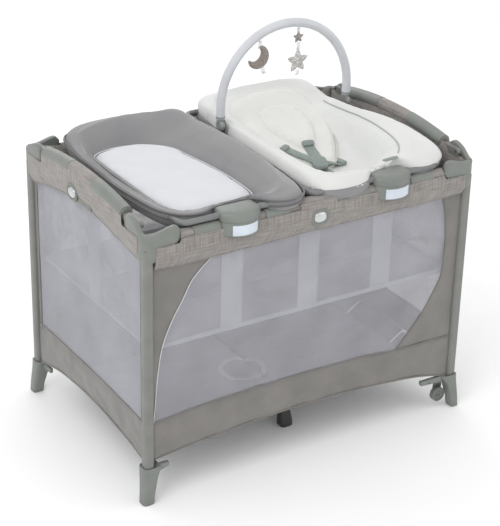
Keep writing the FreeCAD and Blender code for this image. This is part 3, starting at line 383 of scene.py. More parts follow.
for tag, side in (("front", -1), ("back", 1)):
    cheek = []
    for y, inset in ((317, 0.8), (317.8, 0), (320.7, 0), (321.5, 0.8)):
        ring = [(WHEEL_ACROSS + (AXLE_ROUND - inset) * math.cos(math.pi * (1 + step / 15)), side * y,
                 WHEEL_HEIGHT + (AXLE_ROUND - inset) * math.sin(math.pi * (1 + step / 15)))
                for step in range(16)]
        cheek.append(ring + [(486, side * y, 60), (486, side * y, 98), (462, side * y, 98)])
    solid("caster_cheek_" + tag, *loft(cheek), plastic, "leg_%s_right" % tag, "grey_plastic",
          smooth=False)
    rivet = [square_ring(0, 0, size, size, depth, 1.0) for size, depth in
             ((3.4, 0), (3.2, 1.2), (2.2, 2.0), (0.6, 2.3))]
    rivet = [[(424 + a, side * (339.6 + depth), 96 + b) for a, b, depth in ring] for ring in rivet]
    solid("foot_rivet_" + tag, *loft(rivet), steel, "leg_%s_right" % tag, "steel_tube")

# ---- Corner brackets -----------------------------------------------------------------
# A moulded bracket wraps the head of each post. Its two arms hold the top rails, and a
# thick rounded lip dips over the corner like a saddle.

for corner, side in CORNERS.items():
    bracket_low = [(-80, 764), (-72, 748), (-50, 738), (-22, 712), (-8, 704), (8, 704), (28, 714),
                   (56, 732), (72, 742), (80, 756)]
    bracket_high = [(-80, 800), (-72, 810), (-56, 812), (-30, 803), (0, 782), (24, 784), (50, 791),
                    (68, 794), (76, 790), (80, 782)]
    bracket_half = [(-80, 5), (-60, 6.5), (60, 6.5), (80, 5)]
    points, faces = loft(corner_shell(side, 415, 244, 16, (bracket_low, bracket_high),
                                      bracket_half, lip=2.5, out=10))
    bracket = solid("bracket_shell_" + corner, points, faces, plastic, "leg_" + corner,
                    "grey_plastic")
    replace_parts(bracket, "bracket_" + corner)

# ---- Top rails -----------------------------------------------------------------------
# Steel tubes, in two halves per side, run through a sleeve of melange linen cloth. The
# bassinet's plastic clips snap over the sleeves, and a latch joins the two halves.


def woven(name, light, dark, pitch, flat=False):
    """Woven cloth: crossing threads, and uneven lighter and darker yarns."""
    finish = Finish(name, Roughness=0.92, Sheen_Weight=0.25)
    first, second = (finish.x, finish.y) if flat else (finish.x + finish.y, finish.z)
    turns = 2 * math.pi / pitch
    weave = (first * turns).wave() * (second * turns).wave()
    yarns = finish.noise(260, 2, finish.at(first * 0.07, second, 0.0))
    cross = finish.noise(260, 2, finish.at(first, second * 0.07, 0.0))
    tone = finish.ramp(yarns + cross + weave * 0.08, 0.8, 1.2)
    worn = finish.noise(6, 3) * 0.3
    finish.set("Base Color", finish.mix(finish.ramp(tone + worn, 0.1, 1.2), dark, light))
    finish.bump(weave + tone, pitch * 0.12, 0.5)
    return finish


def tube_rings(path, radius, count=16):
    """Rings of a tube along a path; the radius may change along it."""
    rings = []
    side = None
    for index, point in enumerate(path):
        point = Vector(point)
        after = Vector(path[min(index + 1, len(path) - 1)])
        ahead = (after - Vector(path[max(index - 1, 0)])).normalized()
        if side is None:
            side = ahead.orthogonal().normalized()
        side = (side - ahead * side.dot(ahead)).normalized()
        other = ahead.cross(side)
        across = radius(index / (len(path) - 1)) if callable(radius) else radius
        rings.append([point + (side * math.cos(2 * math.pi * step / count)
                               + other * math.sin(2 * math.pi * step / count)) * across
                      for step in range(count)])
    return rings


def tube(name, path, radius, finish, body, slot, count=16, capped=True):
    """A round piece along a path."""
    rings = tube_rings(path, radius, count)
    return solid(name, *loft(rings, capped=capped), finish, body, slot)


def settle(made):
    """Apply the modifiers of a piece to its mesh."""
    depsgraph = bpy.context.evaluated_depsgraph_get()
    finished = bpy.data.meshes.new_from_object(made.evaluated_get(depsgraph))
    made.modifiers.clear()
    made.data = finished


def thicken(made, thick):
    """Give a sheet of cloth its thickness, in millimetres."""
    layer = made.modifiers.new("thickness", "SOLIDIFY")
    layer.thickness = thick * MM
    layer.offset = 0
    settle(made)
    return made


rail_low, rail_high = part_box("long_rail_back_right")
RAIL_HEIGHT = round((rail_low.z + rail_high.z) / 2 / MM)
ARCH_RADIUS, ARCH_CROWN = 1364, 816


def short_rail_height(y):
    """The height of the centre line of the arched short rails."""
    return ARCH_CROWN - ARCH_RADIUS + math.sqrt(ARCH_RADIUS ** 2 - y ** 2)


linen = woven("linen", linear(152, 147, 143), linear(122, 117, 113), 0.0022)
latch_plastic = moulded("latch_plastic", linear(120, 122, 116), 0.5)
for corner, side in CORNERS.items():
    dress(post_finish, "long_rail_" + corner, "short_rail_" + corner)
    dress(plastic, "long_clips_" + corner, "short_clip_" + corner)
    sleeve_path = [((57 + 356 * step / 40) * side[0], LEG_DEEP * side[1], RAIL_HEIGHT)
                   for step in range(41)]
    sleeve = tube("long_sleeve_" + corner, sleeve_path,
                  lambda t, seed=side[0] * 2 + side[1]: 15.6 + 0.5 * noise.noise((t * 9, seed, 0)),
                  linen, "long_rail_" + corner, "band_linen", 24, False)
    thicken(sleeve, 1.2)
    "long_rail_" + corner
    sleeve_path = [(LEG_ACROSS * side[0], y * side[1], short_rail_height(y))
                   for y in range(67, 231, 4)]
    sleeve = tube("short_sleeve_" + corner, sleeve_path, 15.6, linen, "short_rail_" + corner,
                  "band_linen", 24, False)
    thicken(sleeve, 1.2)
    "short_rail_" + corner
for name, side in (("front", -1), ("back", 1)):
    dress(latch_plastic, "latch_" + name)
    cover_path = [(x, LEG_DEEP * side, RAIL_HEIGHT) for x in range(-58, 59, 4)]
    cover = tube("latch_cover_" + name, cover_path, lambda t: 17 + 5 * math.sin(math.pi * t) ** 0.5,
                 linen, "latch_" + name, "band_linen", 24, False)
    thicken(cover, 1.2)
for name, side in (("left", -1), ("right", 1)):
    dress(latch_plastic, "latch_" + name)
    cover_path = [(LEG_ACROSS * side, y, short_rail_height(y)) for y in range(-68, 69, 4)]
    cover = tube("latch_cover_" + name, cover_path, 17.5, linen, "latch_" + name, "band_linen", 24,
                 False)
    thicken(cover, 1.2)

# ---- Floor frame ---------------------------------------------------------------------
# Four steel tubes hinge in the feet and meet at a plate in the middle, which has two
# short legs of dark moulded plastic.

dark_plastic = moulded("dark_plastic", linear(52, 53, 50), 0.55)
dress(steel, *["floor_tube_" + corner for corner in CORNERS], "floor_hub")
for tag, side in (("front", 1), ("back", -1)):
    rings = []
    for level, middle, deep, wide, half in ((0, 23, 190, 15, 15), (1.5, 23, 190, 19, 18),
                                            (12, 23, 190, 20, 18), (38, 22, 186, 18, 15),
                                            (62, 20, 176, 15, 13), (80, 17, 150, 10, 14),
                                            (92, 14, 110, 8, 14), (98, 14, 70, 7.6, 8),
                                            (100, 14, 46, 7.4, 5)):
        rings.append(square_ring(side * middle, -side * deep, wide, half, level))
    leg = solid("centre_foot_" + tag, *loft(rings), dark_plastic, "centre_leg_" + tag, "dark_plastic")
    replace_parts(leg, "centre_leg_" + tag)

# ---- Fabric shell --------------------------------------------------------------------
# Four sewn walls hang from the top rails. Each long wall has a window of fine mesh between
# taupe cloth corners, with white piping round the front's left one; the ends are mesh
# nearly all the way across.


ROW_PITCH = 0.0032


def net(name, colour, pitch, cover, fan=0.0):
    """Fine knitted mesh: threads of one colour with rows of small open holes.

    A fan makes the threads draw together towards the top.
    """
    finish = Finish(name, Roughness=0.8, Sheen_Weight=0.3)
    across = (finish.x + finish.y) * (1 + finish.z * fan)
    rows = finish.z * (2 * math.pi / ROW_PITCH)
    lattice = (across * (2 * math.pi / pitch)).wave() * rows.wave()
    shade = tuple(channel * 0.8 for channel in colour[:3]) + (1.0,)
    finish.set("Base Color", finish.mix(finish.ramp(finish.noise(9, 4), 0.3, 0.7), shade, colour))
    finish.set("Alpha", 1 - (lattice.size() > cover) * 0.96)
    finish.bump(lattice, 0.0002, 0.4)
    return finish


def solid_cloth(name, light, dark, pitch=0.0011, flat=False):
    """Plain woven cloth with soft creases and a fine thread; painted shade makes the colour darker in the
    crease hollows and paler on their ridges.
    """
    finish = Finish(name, Roughness=0.88, Sheen_Weight=0.3)
    turns = 2 * math.pi / pitch
    first, second = (finish.x, finish.y) if flat else (finish.x + finish.y, finish.z)
    weave = (first * turns).wave() * (second * turns).wave()
    crease_and_shade = finish.noise(14, 4)
    # Painted shade: the crease relief also sets the colour, darker in its hollows and paler on its
    # ridges.
    finish.set("Base Color", finish.mix(finish.ramp(crease_and_shade + weave * 0.1, 0.1, 0.8), dark, light))
    finish.bump(crease_and_shade * 0.0012 + weave * 0.00005, 1.0, 0.7)
    return finish


def wall(side):
    """A function from distance along a wall, height and stand-off to a place."""
    turned = {"front": lambda s, z, out: (s, -LEG_DEEP - 2 - out, z),
              "back": lambda s, z, out: (-s, LEG_DEEP + 2 + out, z),
              "left": lambda s, z, out: (-LEG_ACROSS - out, -s, z),
              "right": lambda s, z, out: (LEG_ACROSS + out, s, z)}
    return turned[side]


def cloth_grid(name, rows, finish, body, slot, thick=0.0):
    """A sheet of cloth over rows of points in millimetres."""
    count = len(rows[0])
    points = [point for row in rows for point in row]
    faces = [(row * count + step, row * count + step + 1, (row + 1) * count + step + 1,
              (row + 1) * count + step)
             for row in range(len(rows) - 1) for step in range(count - 1)]
    made = solid(name, points, faces, finish, body, slot)
    return thicken(made, thick) if thick else made


def cut_cloth(made, width, length, layers=2):
    """Work out a sheet of cloth's surface, which counts once for each of its layers, against its cut
    size; the result is not kept.
    """
    surface = sum(face.area for face in made.data.polygons) / layers
    min(surface, width * length)


def spread(start, end, count):
    """Even steps from one value to another."""
    return [start + (end - start) * step / (count - 1) for step in range(count)]


def ripple(x, y, z, depth, scale=0.012):
    """A soft unevenness of cloth, in millimetres."""
    return depth * noise.fractal((x * scale, y * scale, z * scale), 0.7, 2.0, 3)


taupe = solid_cloth("taupe_cloth", linear(127, 124, 121), linear(108, 106, 103))
shell_net = net("shell_mesh", linear(182, 182, 189), ROW_PITCH, 0.42)
end_net = net("end_mesh", linear(170, 171, 178), ROW_PITCH, 0.62)
white_binding = solid_cloth("white_binding", linear(214, 215, 214), linear(200, 202, 201))
seam_finish = solid_cloth("seam", linear(120, 116, 110), linear(100, 97, 92))

LONG_LEFT = [(236, -487), (300, -481), (368, -475), (457, -460), (526, -431), (575, -402),
             (631, -369), (700, -290)]
LONG_RIGHT = [(236, 290), (285, 335), (327, 371), (380, 405), (437, 437), (500, 442),
              (567, 443), (640, 434), (700, 420)]
LONG_SILL = [(-488, 236), (-330, 249), (-165, 254), (0, 254), (174, 252), (295, 240), (488, 236)]
LONG_HEM = [(-500, 122), (-330, 139), (-162, 149), (0, 153), (180, 147), (369, 129), (488, 104)]
END_SILL = [(-316, 238), (-150, 240), (0, 241), (150, 239), (316, 232)]
END_HEM = [(-316, 106), (-269, 118), (-173, 138), (-41, 147), (60, 146), (142, 139), (250, 127),
           (316, 112)]


def squash_wall(made, side):
    """Give a piece of a wall's cloth its own copy of its mesh."""
    if side in ("front", "back"):
        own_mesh(made)
    else:
        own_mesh(made)


WALL_BODY = {"front": "leg_front_left", "back": "leg_back_left", "left": "leg_front_left",
             "right": "leg_front_right"}
for side in ("front", "back", "left", "right"):
    place = wall(side)
    body = WALL_BODY[side]
    long_side = side in ("front", "back")
    sill, hem = (LONG_SILL, LONG_HEM) if long_side else (END_SILL, END_HEM)
    half = 490 if long_side else 320
    window = []
    for z in spread(225, 745, 60):
        start = smooth_through(LONG_LEFT, z) if long_side else -302
        end = smooth_through(LONG_RIGHT, z) if long_side else 302
        rows = []
        for s in spread(start, end, 90):
            low = smooth_through(sill, s)
            height = max(z, low - 2)
            bulge = 3 * math.sin(math.pi * (s + half) / (2 * half)) * math.sin((z - 225) / 520 * math.pi)
            rows.append(place(s, height, bulge + ripple(s, len(side), z, 1.2)))
        window.append(rows)
    pane = cloth_grid("shell_mesh_" + side, window, shell_net if long_side else end_net, body,
                      "shell_mesh")
    cut_cloth(pane, 0.92 if long_side else 0.62, 0.525, 1)
    squash_wall(pane, side)
    panels = []
    if long_side:
        left = [[place(s, z, ripple(s, 3, z, 2.0))
                 for s in spread(-490, smooth_through(LONG_LEFT, z), 16)]
                for z in spread(234, 745, 50)]
        right_panel = [[place(s, z, ripple(s, 5, z, 2.0))
                        for s in spread(smooth_through(LONG_RIGHT, z), 490, 24)]
                       for z in spread(234, 745, 50)]
        panels = [("near", left), ("far", right_panel)]
    else:
        for tag, inner, outer in (("near", -302, -320), ("far", 302, 320)):
            panels.append((tag, [[place(s, z, ripple(s, 5, z, 1.0)) for s in spread(outer, inner, 6)]
                                 for z in spread(222, 745, 50)]))
    for tag, rows in panels:
        panel = cloth_grid("shell_" + tag + "_" + side, rows, taupe, body, "shell_cloth", 1.6)
        wide = 0.2 if long_side else 0.019
        cut_cloth(panel, wide, 0.525)
        squash_wall(panel, side)
    band = [[place(s, smooth_through(hem, s) + (smooth_through(sill, s) - smooth_through(hem, s)) * t,
                   ripple(s, 9, t * 150, 2.5) + 1.5 * math.sin(math.pi * t))
             for s in spread(-half, half, 120)] for t in spread(0, 1, 16)]
    skirt = cloth_grid("shell_skirt_" + side, band, taupe, body, "shell_cloth", 1.6)
    cut_cloth(skirt, 2 * half * MM, 0.15)
    squash_wall(skirt, side)
    seams = [("sill", [place(s, smooth_through(sill, s), 2.4) for s in spread(-half, half, 90)],
              1.6, taupe),
             ("hem", [place(s, smooth_through(hem, s) + 1, 1.5) for s in spread(-half, half, 90)],
              2.6, seam_finish)]
    if long_side:
        trim = white_binding if side == "front" else taupe
        seams += [("left", [place(smooth_through(LONG_LEFT, z), z, 2.6) for z in spread(236, 745, 70)],
                   1.2, trim),
                  ("right", [place(smooth_through(LONG_RIGHT, z), z, 2.6) for z in spread(240, 745, 70)],
                   1.3, seam_finish)]
    else:
        seams += [("near", [place(-302, z, 2.0) for z in spread(236, 745, 40)], 1.4, taupe),
                  ("far", [place(302, z, 2.0) for z in spread(236, 745, 40)], 1.4, taupe)]
    for tag, path, radius, finish in seams:
        slot = "white_binding" if finish is white_binding else "shell_cloth"
        cord = tube("shell_seam_" + tag + "_" + side, path, radius, finish, body, slot, 8)
        squash_wall(cord, side)

# The cloth that covers the rail hangs down outside it in a linen band.
BAND_LOW = {"front": [(-488, 684), (-420, 680), (0, 684), (420, 686), (488, 690)],
            "left": [(-300, 688), (-200, 710), (-60, 731), (0, 733), (60, 731), (200, 714), (300, 702)]}
BAND_LOW["back"] = [(-s, z) for s, z in reversed(BAND_LOW["front"])]
BAND_LOW["right"] = BAND_LOW["left"]
for side in ("front", "back", "left", "right"):
    place = wall(side)
    body = WALL_BODY[side]
    long_side = side in ("front", "back")
    half = 486 if long_side else 318
    rows = []
    for t in spread(0, 1, 15):
        row = []
        for s in spread(-half, half, 130):
            low = smooth_through(BAND_LOW[side], s)
            crown = 757 if long_side else short_rail_height(min(abs(s), 300)) + 2
            out = 17.2 if t > 0.45 else 6 + 11.2 * math.sin(math.pi / 2 * t / 0.45)
            if long_side and abs(s) > 412:
                crown, out = 745, min(out, 16)
            if not long_side:
                crown = min(crown, 818 if abs(s) < 232 else 770)
            row.append(place(s, low + (crown - low) * t, out + ripple(s, 2, t * 60, 1.6)))
        rows.append(row)
    band = cloth_grid("linen_band_" + side, rows, linen, body, "band_linen", 1.4)
    cut_cloth(band, 2 * half * MM, 0.085)
    squash_wall(band, side)
    edge = [place(s, smooth_through(BAND_LOW[side], s), 6.5 + ripple(s, 2, 0, 1.6))
            for s in spread(-half, half, 100)]
    squash_wall(tube("band_edge_" + side, edge, 2.0, linen, body, "band_linen", 8), side)


def ease(value, low, high):
    """A smooth rise from 0 at low to 1 at high."""
    t = min(1.0, max(0.0, (value - low) / (high - low)))
    return t * t * (3 - 2 * t)


# The shell's own floor is three lengths of cloth that lie under the mattress.
floor_cloth = solid_cloth("floor_cloth", linear(140, 140, 144), linear(124, 124, 129), flat=True)
for tag, start, end, layer, body in (("front", -330, -112, 110.5, "leg_front_left"),
                                     ("middle", -110, 110, 112.7, "latch_left"),
                                     ("back", 112, 330, 114.6, "leg_back_left")):
    rows = [[(x, y, layer + (smooth_through(LONG_HEM, -abs(x)) - 112) * ease(abs(y), 254, 332) * 0.98
              + (smooth_through(END_HEM, -abs(y)) - 112) * ease(abs(x), 436, 500)
              * (1 - ease(abs(y), 254, 332)))
             for x in spread(-499, 499, 90)] for y in spread(start, end, 22)]
    strip = cloth_grid("shell_floor_" + tag, rows, floor_cloth, body, "shell_cloth", 1.4)
    cut_cloth(strip, 1.01, (end - start) * MM * 1.03)
    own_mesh(strip)
    if tag == "front":
        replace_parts(strip, "fabric_shell")

# ---- Release badges ------------------------------------------------------------------
# A badge of two mouldings hides each latch's push button behind the linen: a rounded
# grey-green bezel round a polished oval dome. It has no mark on it.

silver = moulded("badge_silver", linear(205, 208, 208), 0.22)
silver.shader.inputs["Metallic"].default_value = 0.6


def badge(place, centre, outward, along, wide, tall):
    """A bezel with a rounded square outline on the latch, and the dome that is pressed."""
    bezel = [(0, 0), (0, 5), (1.5, 7.5), (4, 8.2), (7, 7.2), (8, 5)]
    dome = [(8, 4), (8.5, 6), (11, 8.4), (15, 10), (19, 10.8)]
    made = []
    for tag, profile, square, finish, body in (("bezel", bezel, 0.55, plastic, "latch_" + place),
                                               ("dome", dome, 0.85, silver, "button_" + place)):
        rings = []
        for inset, rise in profile:
            outline = square_ring(0, 0, wide / 2 - inset, tall / 2 - inset, 0, square, 40)
            rings.append([Vector(centre) + Vector(along) * u + Vector((0, 0, 1)) * v
                          + Vector(outward) * rise for u, v, _ in outline])
        made.append(solid("button_%s_%s" % (place, tag), *loft(rings), finish, body,
                          "button_plastic"))
    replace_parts(made[1], "button_" + place)


badge("front", (4, -346, 723), (0, -1, 0), (1, 0, 0), 55, 48)
badge("back", (-4, 346, 723), (0, 1, 0), (1, 0, 0), 55, 48)
badge("left", (-515, 44, 754), (-1, 0, 0), (0, 1, 0), 55, 46)
badge("right", (515, -44, 754), (1, 0, 0), (0, 1, 0), 55, 46)

# ---- Bassinet ------------------------------------------------------------------------
# A full-length mesh tub hangs inside the rails. Its clips hold a linen lining along the
# rim, light webbing straps run down the mesh, and a pale hem holds the padded floor.

bassinet_net = net("bassinet_mesh", linear(176, 176, 183), 0.0026, 0.34, 0.14)
strap_cloth = solid_cloth("strap_cloth", linear(206, 208, 214), linear(190, 192, 200))
BASSINET_ACROSS, BASSINET_DEEP, BASSINET_FOOT = 478, 308, 436
for side in ("front", "back", "left", "right"):
    body = WALL_BODY[side]
    long_side = side in ("front", "back")
    half, depth = BASSINET_ACROSS, BASSINET_DEEP
    if not long_side:
        half, depth = depth, half

    def inside(s, z, out, side=side, depth=depth):
        turned = {"front": (s, -depth - out, z), "back": (-s, depth + out, z),
                  "left": (-depth - out, -s, z), "right": (depth + out, s, z)}
        return turned[side]

    rows = [[inside(s, z, ripple(s, len(side), z, 0.4)) for s in spread(-half, half, 90)]
            for z in spread(446, 708, 24)]
    tub = cloth_grid("bassinet_mesh_" + side, rows, bassinet_net, body, "bassinet_mesh")
    squash_wall(tub, side)
    if side == "front":
        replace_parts(tub, "bassinet")
    rows = []
    for t in spread(0, 1, 12):
        row = []
        for s in spread(-half, half, 120):
            corner = max(0.0, (abs(s) - (half - 75)) / 75)
            if long_side:
                rim, reach = 764 + 20 * corner, 10 + 20 * corner
            else:
                rim = short_rail_height(min(abs(s), 250)) + 8 - 30 * corner
                reach = 12 + 16 * corner
            out = reach * t ** 1.5 + ripple(s, 4, t * 60, 2.0)
            row.append(inside(s + math.copysign(out * corner, s), 700 + (rim - 700) * t, out))
        rows.append(row)
    lining = cloth_grid("bassinet_lining_" + side, rows, linen, body, "band_linen", 1.4)
    cut_cloth(lining, 2 * half * MM, 0.13)
    squash_wall(lining, side)
    hem_rows = [[inside(s, z, 2.5 + 1.5 * math.sin((z - BASSINET_FOOT) / 14 * math.pi)
                        + ripple(s, 6, z, 0.5))
                 for s in spread(-half, half, 90)]
                for z in spread(BASSINET_FOOT, BASSINET_FOOT + 14, 5)]
    hem = cloth_grid("bassinet_hem_" + side, hem_rows, strap_cloth, body, "bassinet_mesh", 1.6)
    cut_cloth(hem, 2 * half * MM, 0.017)
    squash_wall(hem, side)
    for order, middle in enumerate((-240, 0, 240) if long_side else (0,)):
        rows = [[inside(s, z, 3.2 + ripple(s, 6, z, 1.0)) for s in spread(middle - 33, middle + 33, 8)]
                for z in spread(448, 704, 24)]
        strap = cloth_grid("bassinet_strap_%s_%d" % (side, order), rows, strap_cloth, body,
                           "bassinet_mesh", 1.0)
        cut_cloth(strap, 0.066, 0.257)
        squash_wall(strap, side)

# The tub's padded floor lies in three lengths over the folding frame.
for tag, start, end, layer, body in (("front", -308, -112, 440, "leg_front_left"),
                                     ("middle", -110, 110, 446, "latch_left"),
                                     ("back", 112, 308, 452, "leg_back_left")):
    rows = [[(x, y, layer) for x in spread(-476, 476, 60)] for y in spread(start, end, 14)]
    strip = cloth_grid("bassinet_floor_" + tag, rows, strap_cloth, body, "bassinet_mesh", 5)
    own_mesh(strip)

# ---- Floor mattress ------------------------------------------------------------------
# Two stiffened pads, quilted across and joined by a fold in the middle, lie on the frame.
# One of them is printed with a plain pale ring.


def plump(made, limit, voxel=0.006, held=None, pressure=4.0):
    """Swell a closed form as its filling would, with a short cloth simulation."""
    remesh = made.modifiers.new("skin", "REMESH")
    remesh.mode = "VOXEL"
    remesh.voxel_size = voxel
    settle(made)
    if held:
        pins = made.vertex_groups.new(name="held")
        pins.add([vertex.index for vertex in made.data.vertices if held(vertex.co / MM)], 1.0,
                 "REPLACE")
    before = [vertex.co.copy() for vertex in made.data.vertices]
    fabric = made.modifiers.new("fabric", "CLOTH")
    fabric.settings.quality = 4
    fabric.settings.use_pressure = True
    fabric.settings.uniform_pressure_force = pressure
    fabric.settings.effector_weights.gravity = 0
    fabric.settings.tension_stiffness = 18
    fabric.settings.compression_stiffness = 18
    if held:
        fabric.settings.vertex_group_mass = "held"
    fabric.point_cache.frame_end = 20
    for moment in range(1, 21):
        scene.frame_set(moment)
    settle(made)
    for vertex, start in zip(made.data.vertices, before):
        moved = vertex.co - start
        if moved.length > limit * MM:
            vertex.co = start + moved.normalized() * limit * MM
    scene.frame_set(1)
    for face in made.data.polygons:
        face.use_smooth = True


def slab(name, low, high, finish, body, slot, edge=9, tuck=None, across=48, deep=44):
    """A closed pad with rounded edges between two corners; tuck lowers its faces at seams."""
    rings = []
    middle = [(low[axis] + high[axis]) / 2 for axis in range(3)]
    reach = [(high[axis] - low[axis]) / 2 for axis in range(3)]
    for sign in (-1, 1):
        for row in range(deep + 1):
            ring = []
            for column in range(across + 1):
                u, v = -1 + 2 * column / across, -1 + 2 * row / deep
                x, y = middle[0] + reach[0] * u, middle[1] + reach[1] * v
                gap = min(reach[0] - abs(x - middle[0]), reach[1] - abs(y - middle[1]))
                crown = min(1.0, (max(gap, 0) / edge)) ** 0.5
                drop = tuck(x, y) if tuck and sign > 0 else 0
                ring.append((x, y, middle[2] + sign * (reach[2] * crown - drop * crown)))
            rings.append(ring)
    width = across + 1
    points = [point for ring in rings for point in ring]
    faces = []
    for layer in (0, 1):
        base = layer * (deep + 1) * width
        for row in range(deep):
            for column in range(across):
                first = base + row * width + column
                faces.append((first, first + 1, first + width + 1, first + width))
    made = solid(name, points, faces, finish, body, slot)
    weld = made.modifiers.new("weld", "WELD")
    weld.merge_threshold = 0.0002
    settle(made)
    return made


mattress_cloth = solid_cloth("mattress_cloth", linear(146, 146, 150), linear(130, 130, 135), flat=True)
from_ring = ((mattress_cloth.x + 0.039) * (mattress_cloth.x + 0.039)
             + (mattress_cloth.y + 0.052) * (mattress_cloth.y + 0.052))
printed = (from_ring > 0.055 ** 2) * (from_ring < 0.07 ** 2)
woven_tone = mattress_cloth.shader.inputs["Base Color"].links[0].from_socket
mattress_cloth.set("Base Color", mattress_cloth.mix(printed * 0.8, Wire(mattress_cloth, woven_tone),
                                                    linear(226, 226, 228)))
for tag, low_x, high_x in (("left", -438, -1), ("right", 1, 438)):
    def quilting(x, y):
        near = min(abs(y - line) for line in (-172, -86, 0, 86, 172))
        return 3.5 * math.exp(-(near / 7) ** 2)

    pad = slab("mattress_pad_" + tag, (low_x, -258, 116.2), (high_x, 258, 134.2), mattress_cloth,
               "mattress_" + tag, "mattress_cloth", tuck=quilting, deep=90)
    plump(pad, 5, 0.007, lambda at: min(abs(at.y - line) for line in (-172, -86, 0, 86, 172)) < 5)
    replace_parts(pad, "mattress_" + tag)
    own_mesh(pad)

# ---- Changing table ------------------------------------------------------------------
# A padded grey cloth tray hangs on a steel frame between the long rails. A wide bolster
# runs down its right side, twin piping edges it, and a washable white pad lies in it.


def round_outline(points, centre, count=150):
    """A smooth closed outline through points, one place on each even ray from its centre."""
    fine = []
    for index in range(len(points)):
        before, start, end, after = (Vector(points[(index + step) % len(points)])
                                     for step in (-1, 0, 1, 2))
        for step in range(14):
            t = step / 14
            fine.append(0.5 * (2 * start + (end - before) * t
                               + (2 * before - 5 * start + 4 * end - after) * t * t
                               + (3 * start - before - 3 * end + after) * t ** 3))
    middle = Vector(centre)
    polar = sorted((math.atan2((place - middle).y, (place - middle).x), (place - middle).length)
                   for place in fine)
    polar = ([(angle - 2 * math.pi, reach) for angle, reach in polar[-3:]] + polar
             + [(angle + 2 * math.pi, reach) for angle, reach in polar[:3]])
    outline = []
    for step in range(count):
        angle = -math.pi + 2 * math.pi * step / count
        index = next(order for order, (other, _) in enumerate(polar) if other > angle)
        (low, near), (high, far) = polar[index - 1], polar[index]
        reach = near + (far - near) * (angle - low) / max(high - low, 1e-9)
        outline.append(middle + Vector((math.cos(angle), math.sin(angle))) * reach)
    return outline


def dished(name, outer, inner, rows, height, finish, body, slot):
    """A closed form whose rings run from the outer outline to the inner one and beyond."""
    middle = sum(inner, Vector((0, 0))) / len(inner)
    rings = []
    for share, level in rows:
        ring = []
        for edge, well in zip(outer, inner):
            place = edge.lerp(well, share) if share <= 1 else well.lerp(middle, share - 1)
            ring.append((place.x, place.y, height(place, share, level)))
        rings.append(ring)
    return solid(name, *loft(rings), finish, body, slot)


def upper_surface(made):
    """A function that gives the height of a piece's upper surface at a place in plan."""
    tree = BVHTree.FromPolygons([corner.co for corner in made.data.vertices],
                                [tuple(face.vertices) for face in made.data.polygons])

    def height(x, y, otherwise=0.0):
        hit = tree.ray_cast(Vector((x, y, 1500)) * MM, Vector((0, 0, -1)))[0]
        return hit.z / MM if hit else otherwise
    return height


changer_cloth = solid_cloth("changer_cloth", linear(138, 137, 138), linear(125, 124, 126), flat=True)
piping_finish = solid_cloth("changer_piping", linear(104, 102, 104), linear(88, 86, 88), flat=True)
white_pad = solid_cloth("white_pad", linear(204, 206, 210), linear(196, 198, 203), 0.0014, True)
tray_rim = round_outline([(-418, 290), (-440, 180), (-444, 40), (-446, -80), (-436, -200),
                          (-418, -270), (-384, -312), (-335, -322), (-298, -306), (-238, -299),
                          (-180, -306), (-150, -340), (-105, -360), (-62, -352), (-34, -322),
                          (-20, -250), (-14, -100), (-14, 60), (-20, 220), (-38, 300), (-80, 336),
                          (-160, 346), (-260, 348), (-350, 340), (-398, 322)], (-250, -20))
tray_well = round_outline([(-412, 100), (-390, 196), (-330, 226), (-270, 226), (-210, 204),
                           (-158, 150), (-138, 60), (-122, -60), (-122, -180), (-132, -262),
                           (-180, -286), (-260, -288), (-330, -286), (-378, -268), (-402, -200),
                           (-416, -60)], (-250, -20))


def tray_height(place, share, level):
    """The rim is low at the left and front, and high over the bolster and the back."""
    swell = math.sin(math.pi * min(1.0, max(0.0, share)) ** 0.8)
    bolster = 16 * ease(place.x, -140, -40) * swell * (level > 790)
    back_rim = 30 * ease(place.y, 200, 320) * swell * (level > 775)
    return level + bolster + back_rim + ripple(place.x, place.y, level, 1.2)


tray = dished("changer_tray", tray_rim, tray_well,
              [(1.9, 744), (1.4, 744), (1.0, 746), (0.6, 752), (0.25, 762), (0.06, 772), (0.0, 780),
               (-0.01, 789), (0.02, 798), (0.1, 804), (0.22, 806), (0.36, 805), (0.5, 802),
               (0.64, 796), (0.78, 786), (0.9, 774), (0.97, 766), (1.0, 762), (1.05, 760),
               (1.3, 760), (1.6, 760), (1.9, 760)],
              tray_height, changer_cloth, "changer", "changer_cloth")
plump(tray, 5, 0.006, pressure=3.0)
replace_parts(tray, "changer_cover")
for order, (level, inset) in enumerate(((782, 0.0), (797, -0.01))):
    ring = [edge.lerp(well, inset) for edge, well in zip(tray_rim, tray_well)]
    path = [(place.x, place.y, tray_height(place, inset, level)) for place in ring]
    rings = tube_rings(path + path[:2], 2.6, 8)[:-1]
    solid("changer_piping_%d" % order, *loft(rings[1:], closed=True, capped=False),
          piping_finish, "changer", "changer_cloth")

pad_edge = round_outline([(-402, 90), (-384, 182), (-330, 212), (-270, 212), (-214, 192),
                          (-166, 142), (-150, 60), (-134, -60), (-132, -180), (-144, -250),
                          (-190, -272), (-260, -276), (-330, -274), (-368, -256), (-392, -190),
                          (-406, -60)], (-262, -20))
pad_heart = [Vector((-262, -20)).lerp(place, 0.3) for place in pad_edge]


def crowned(place, share, level):
    """The white pad's own unevenness."""
    return level + ripple(place.x, place.y, 3, 1.5)


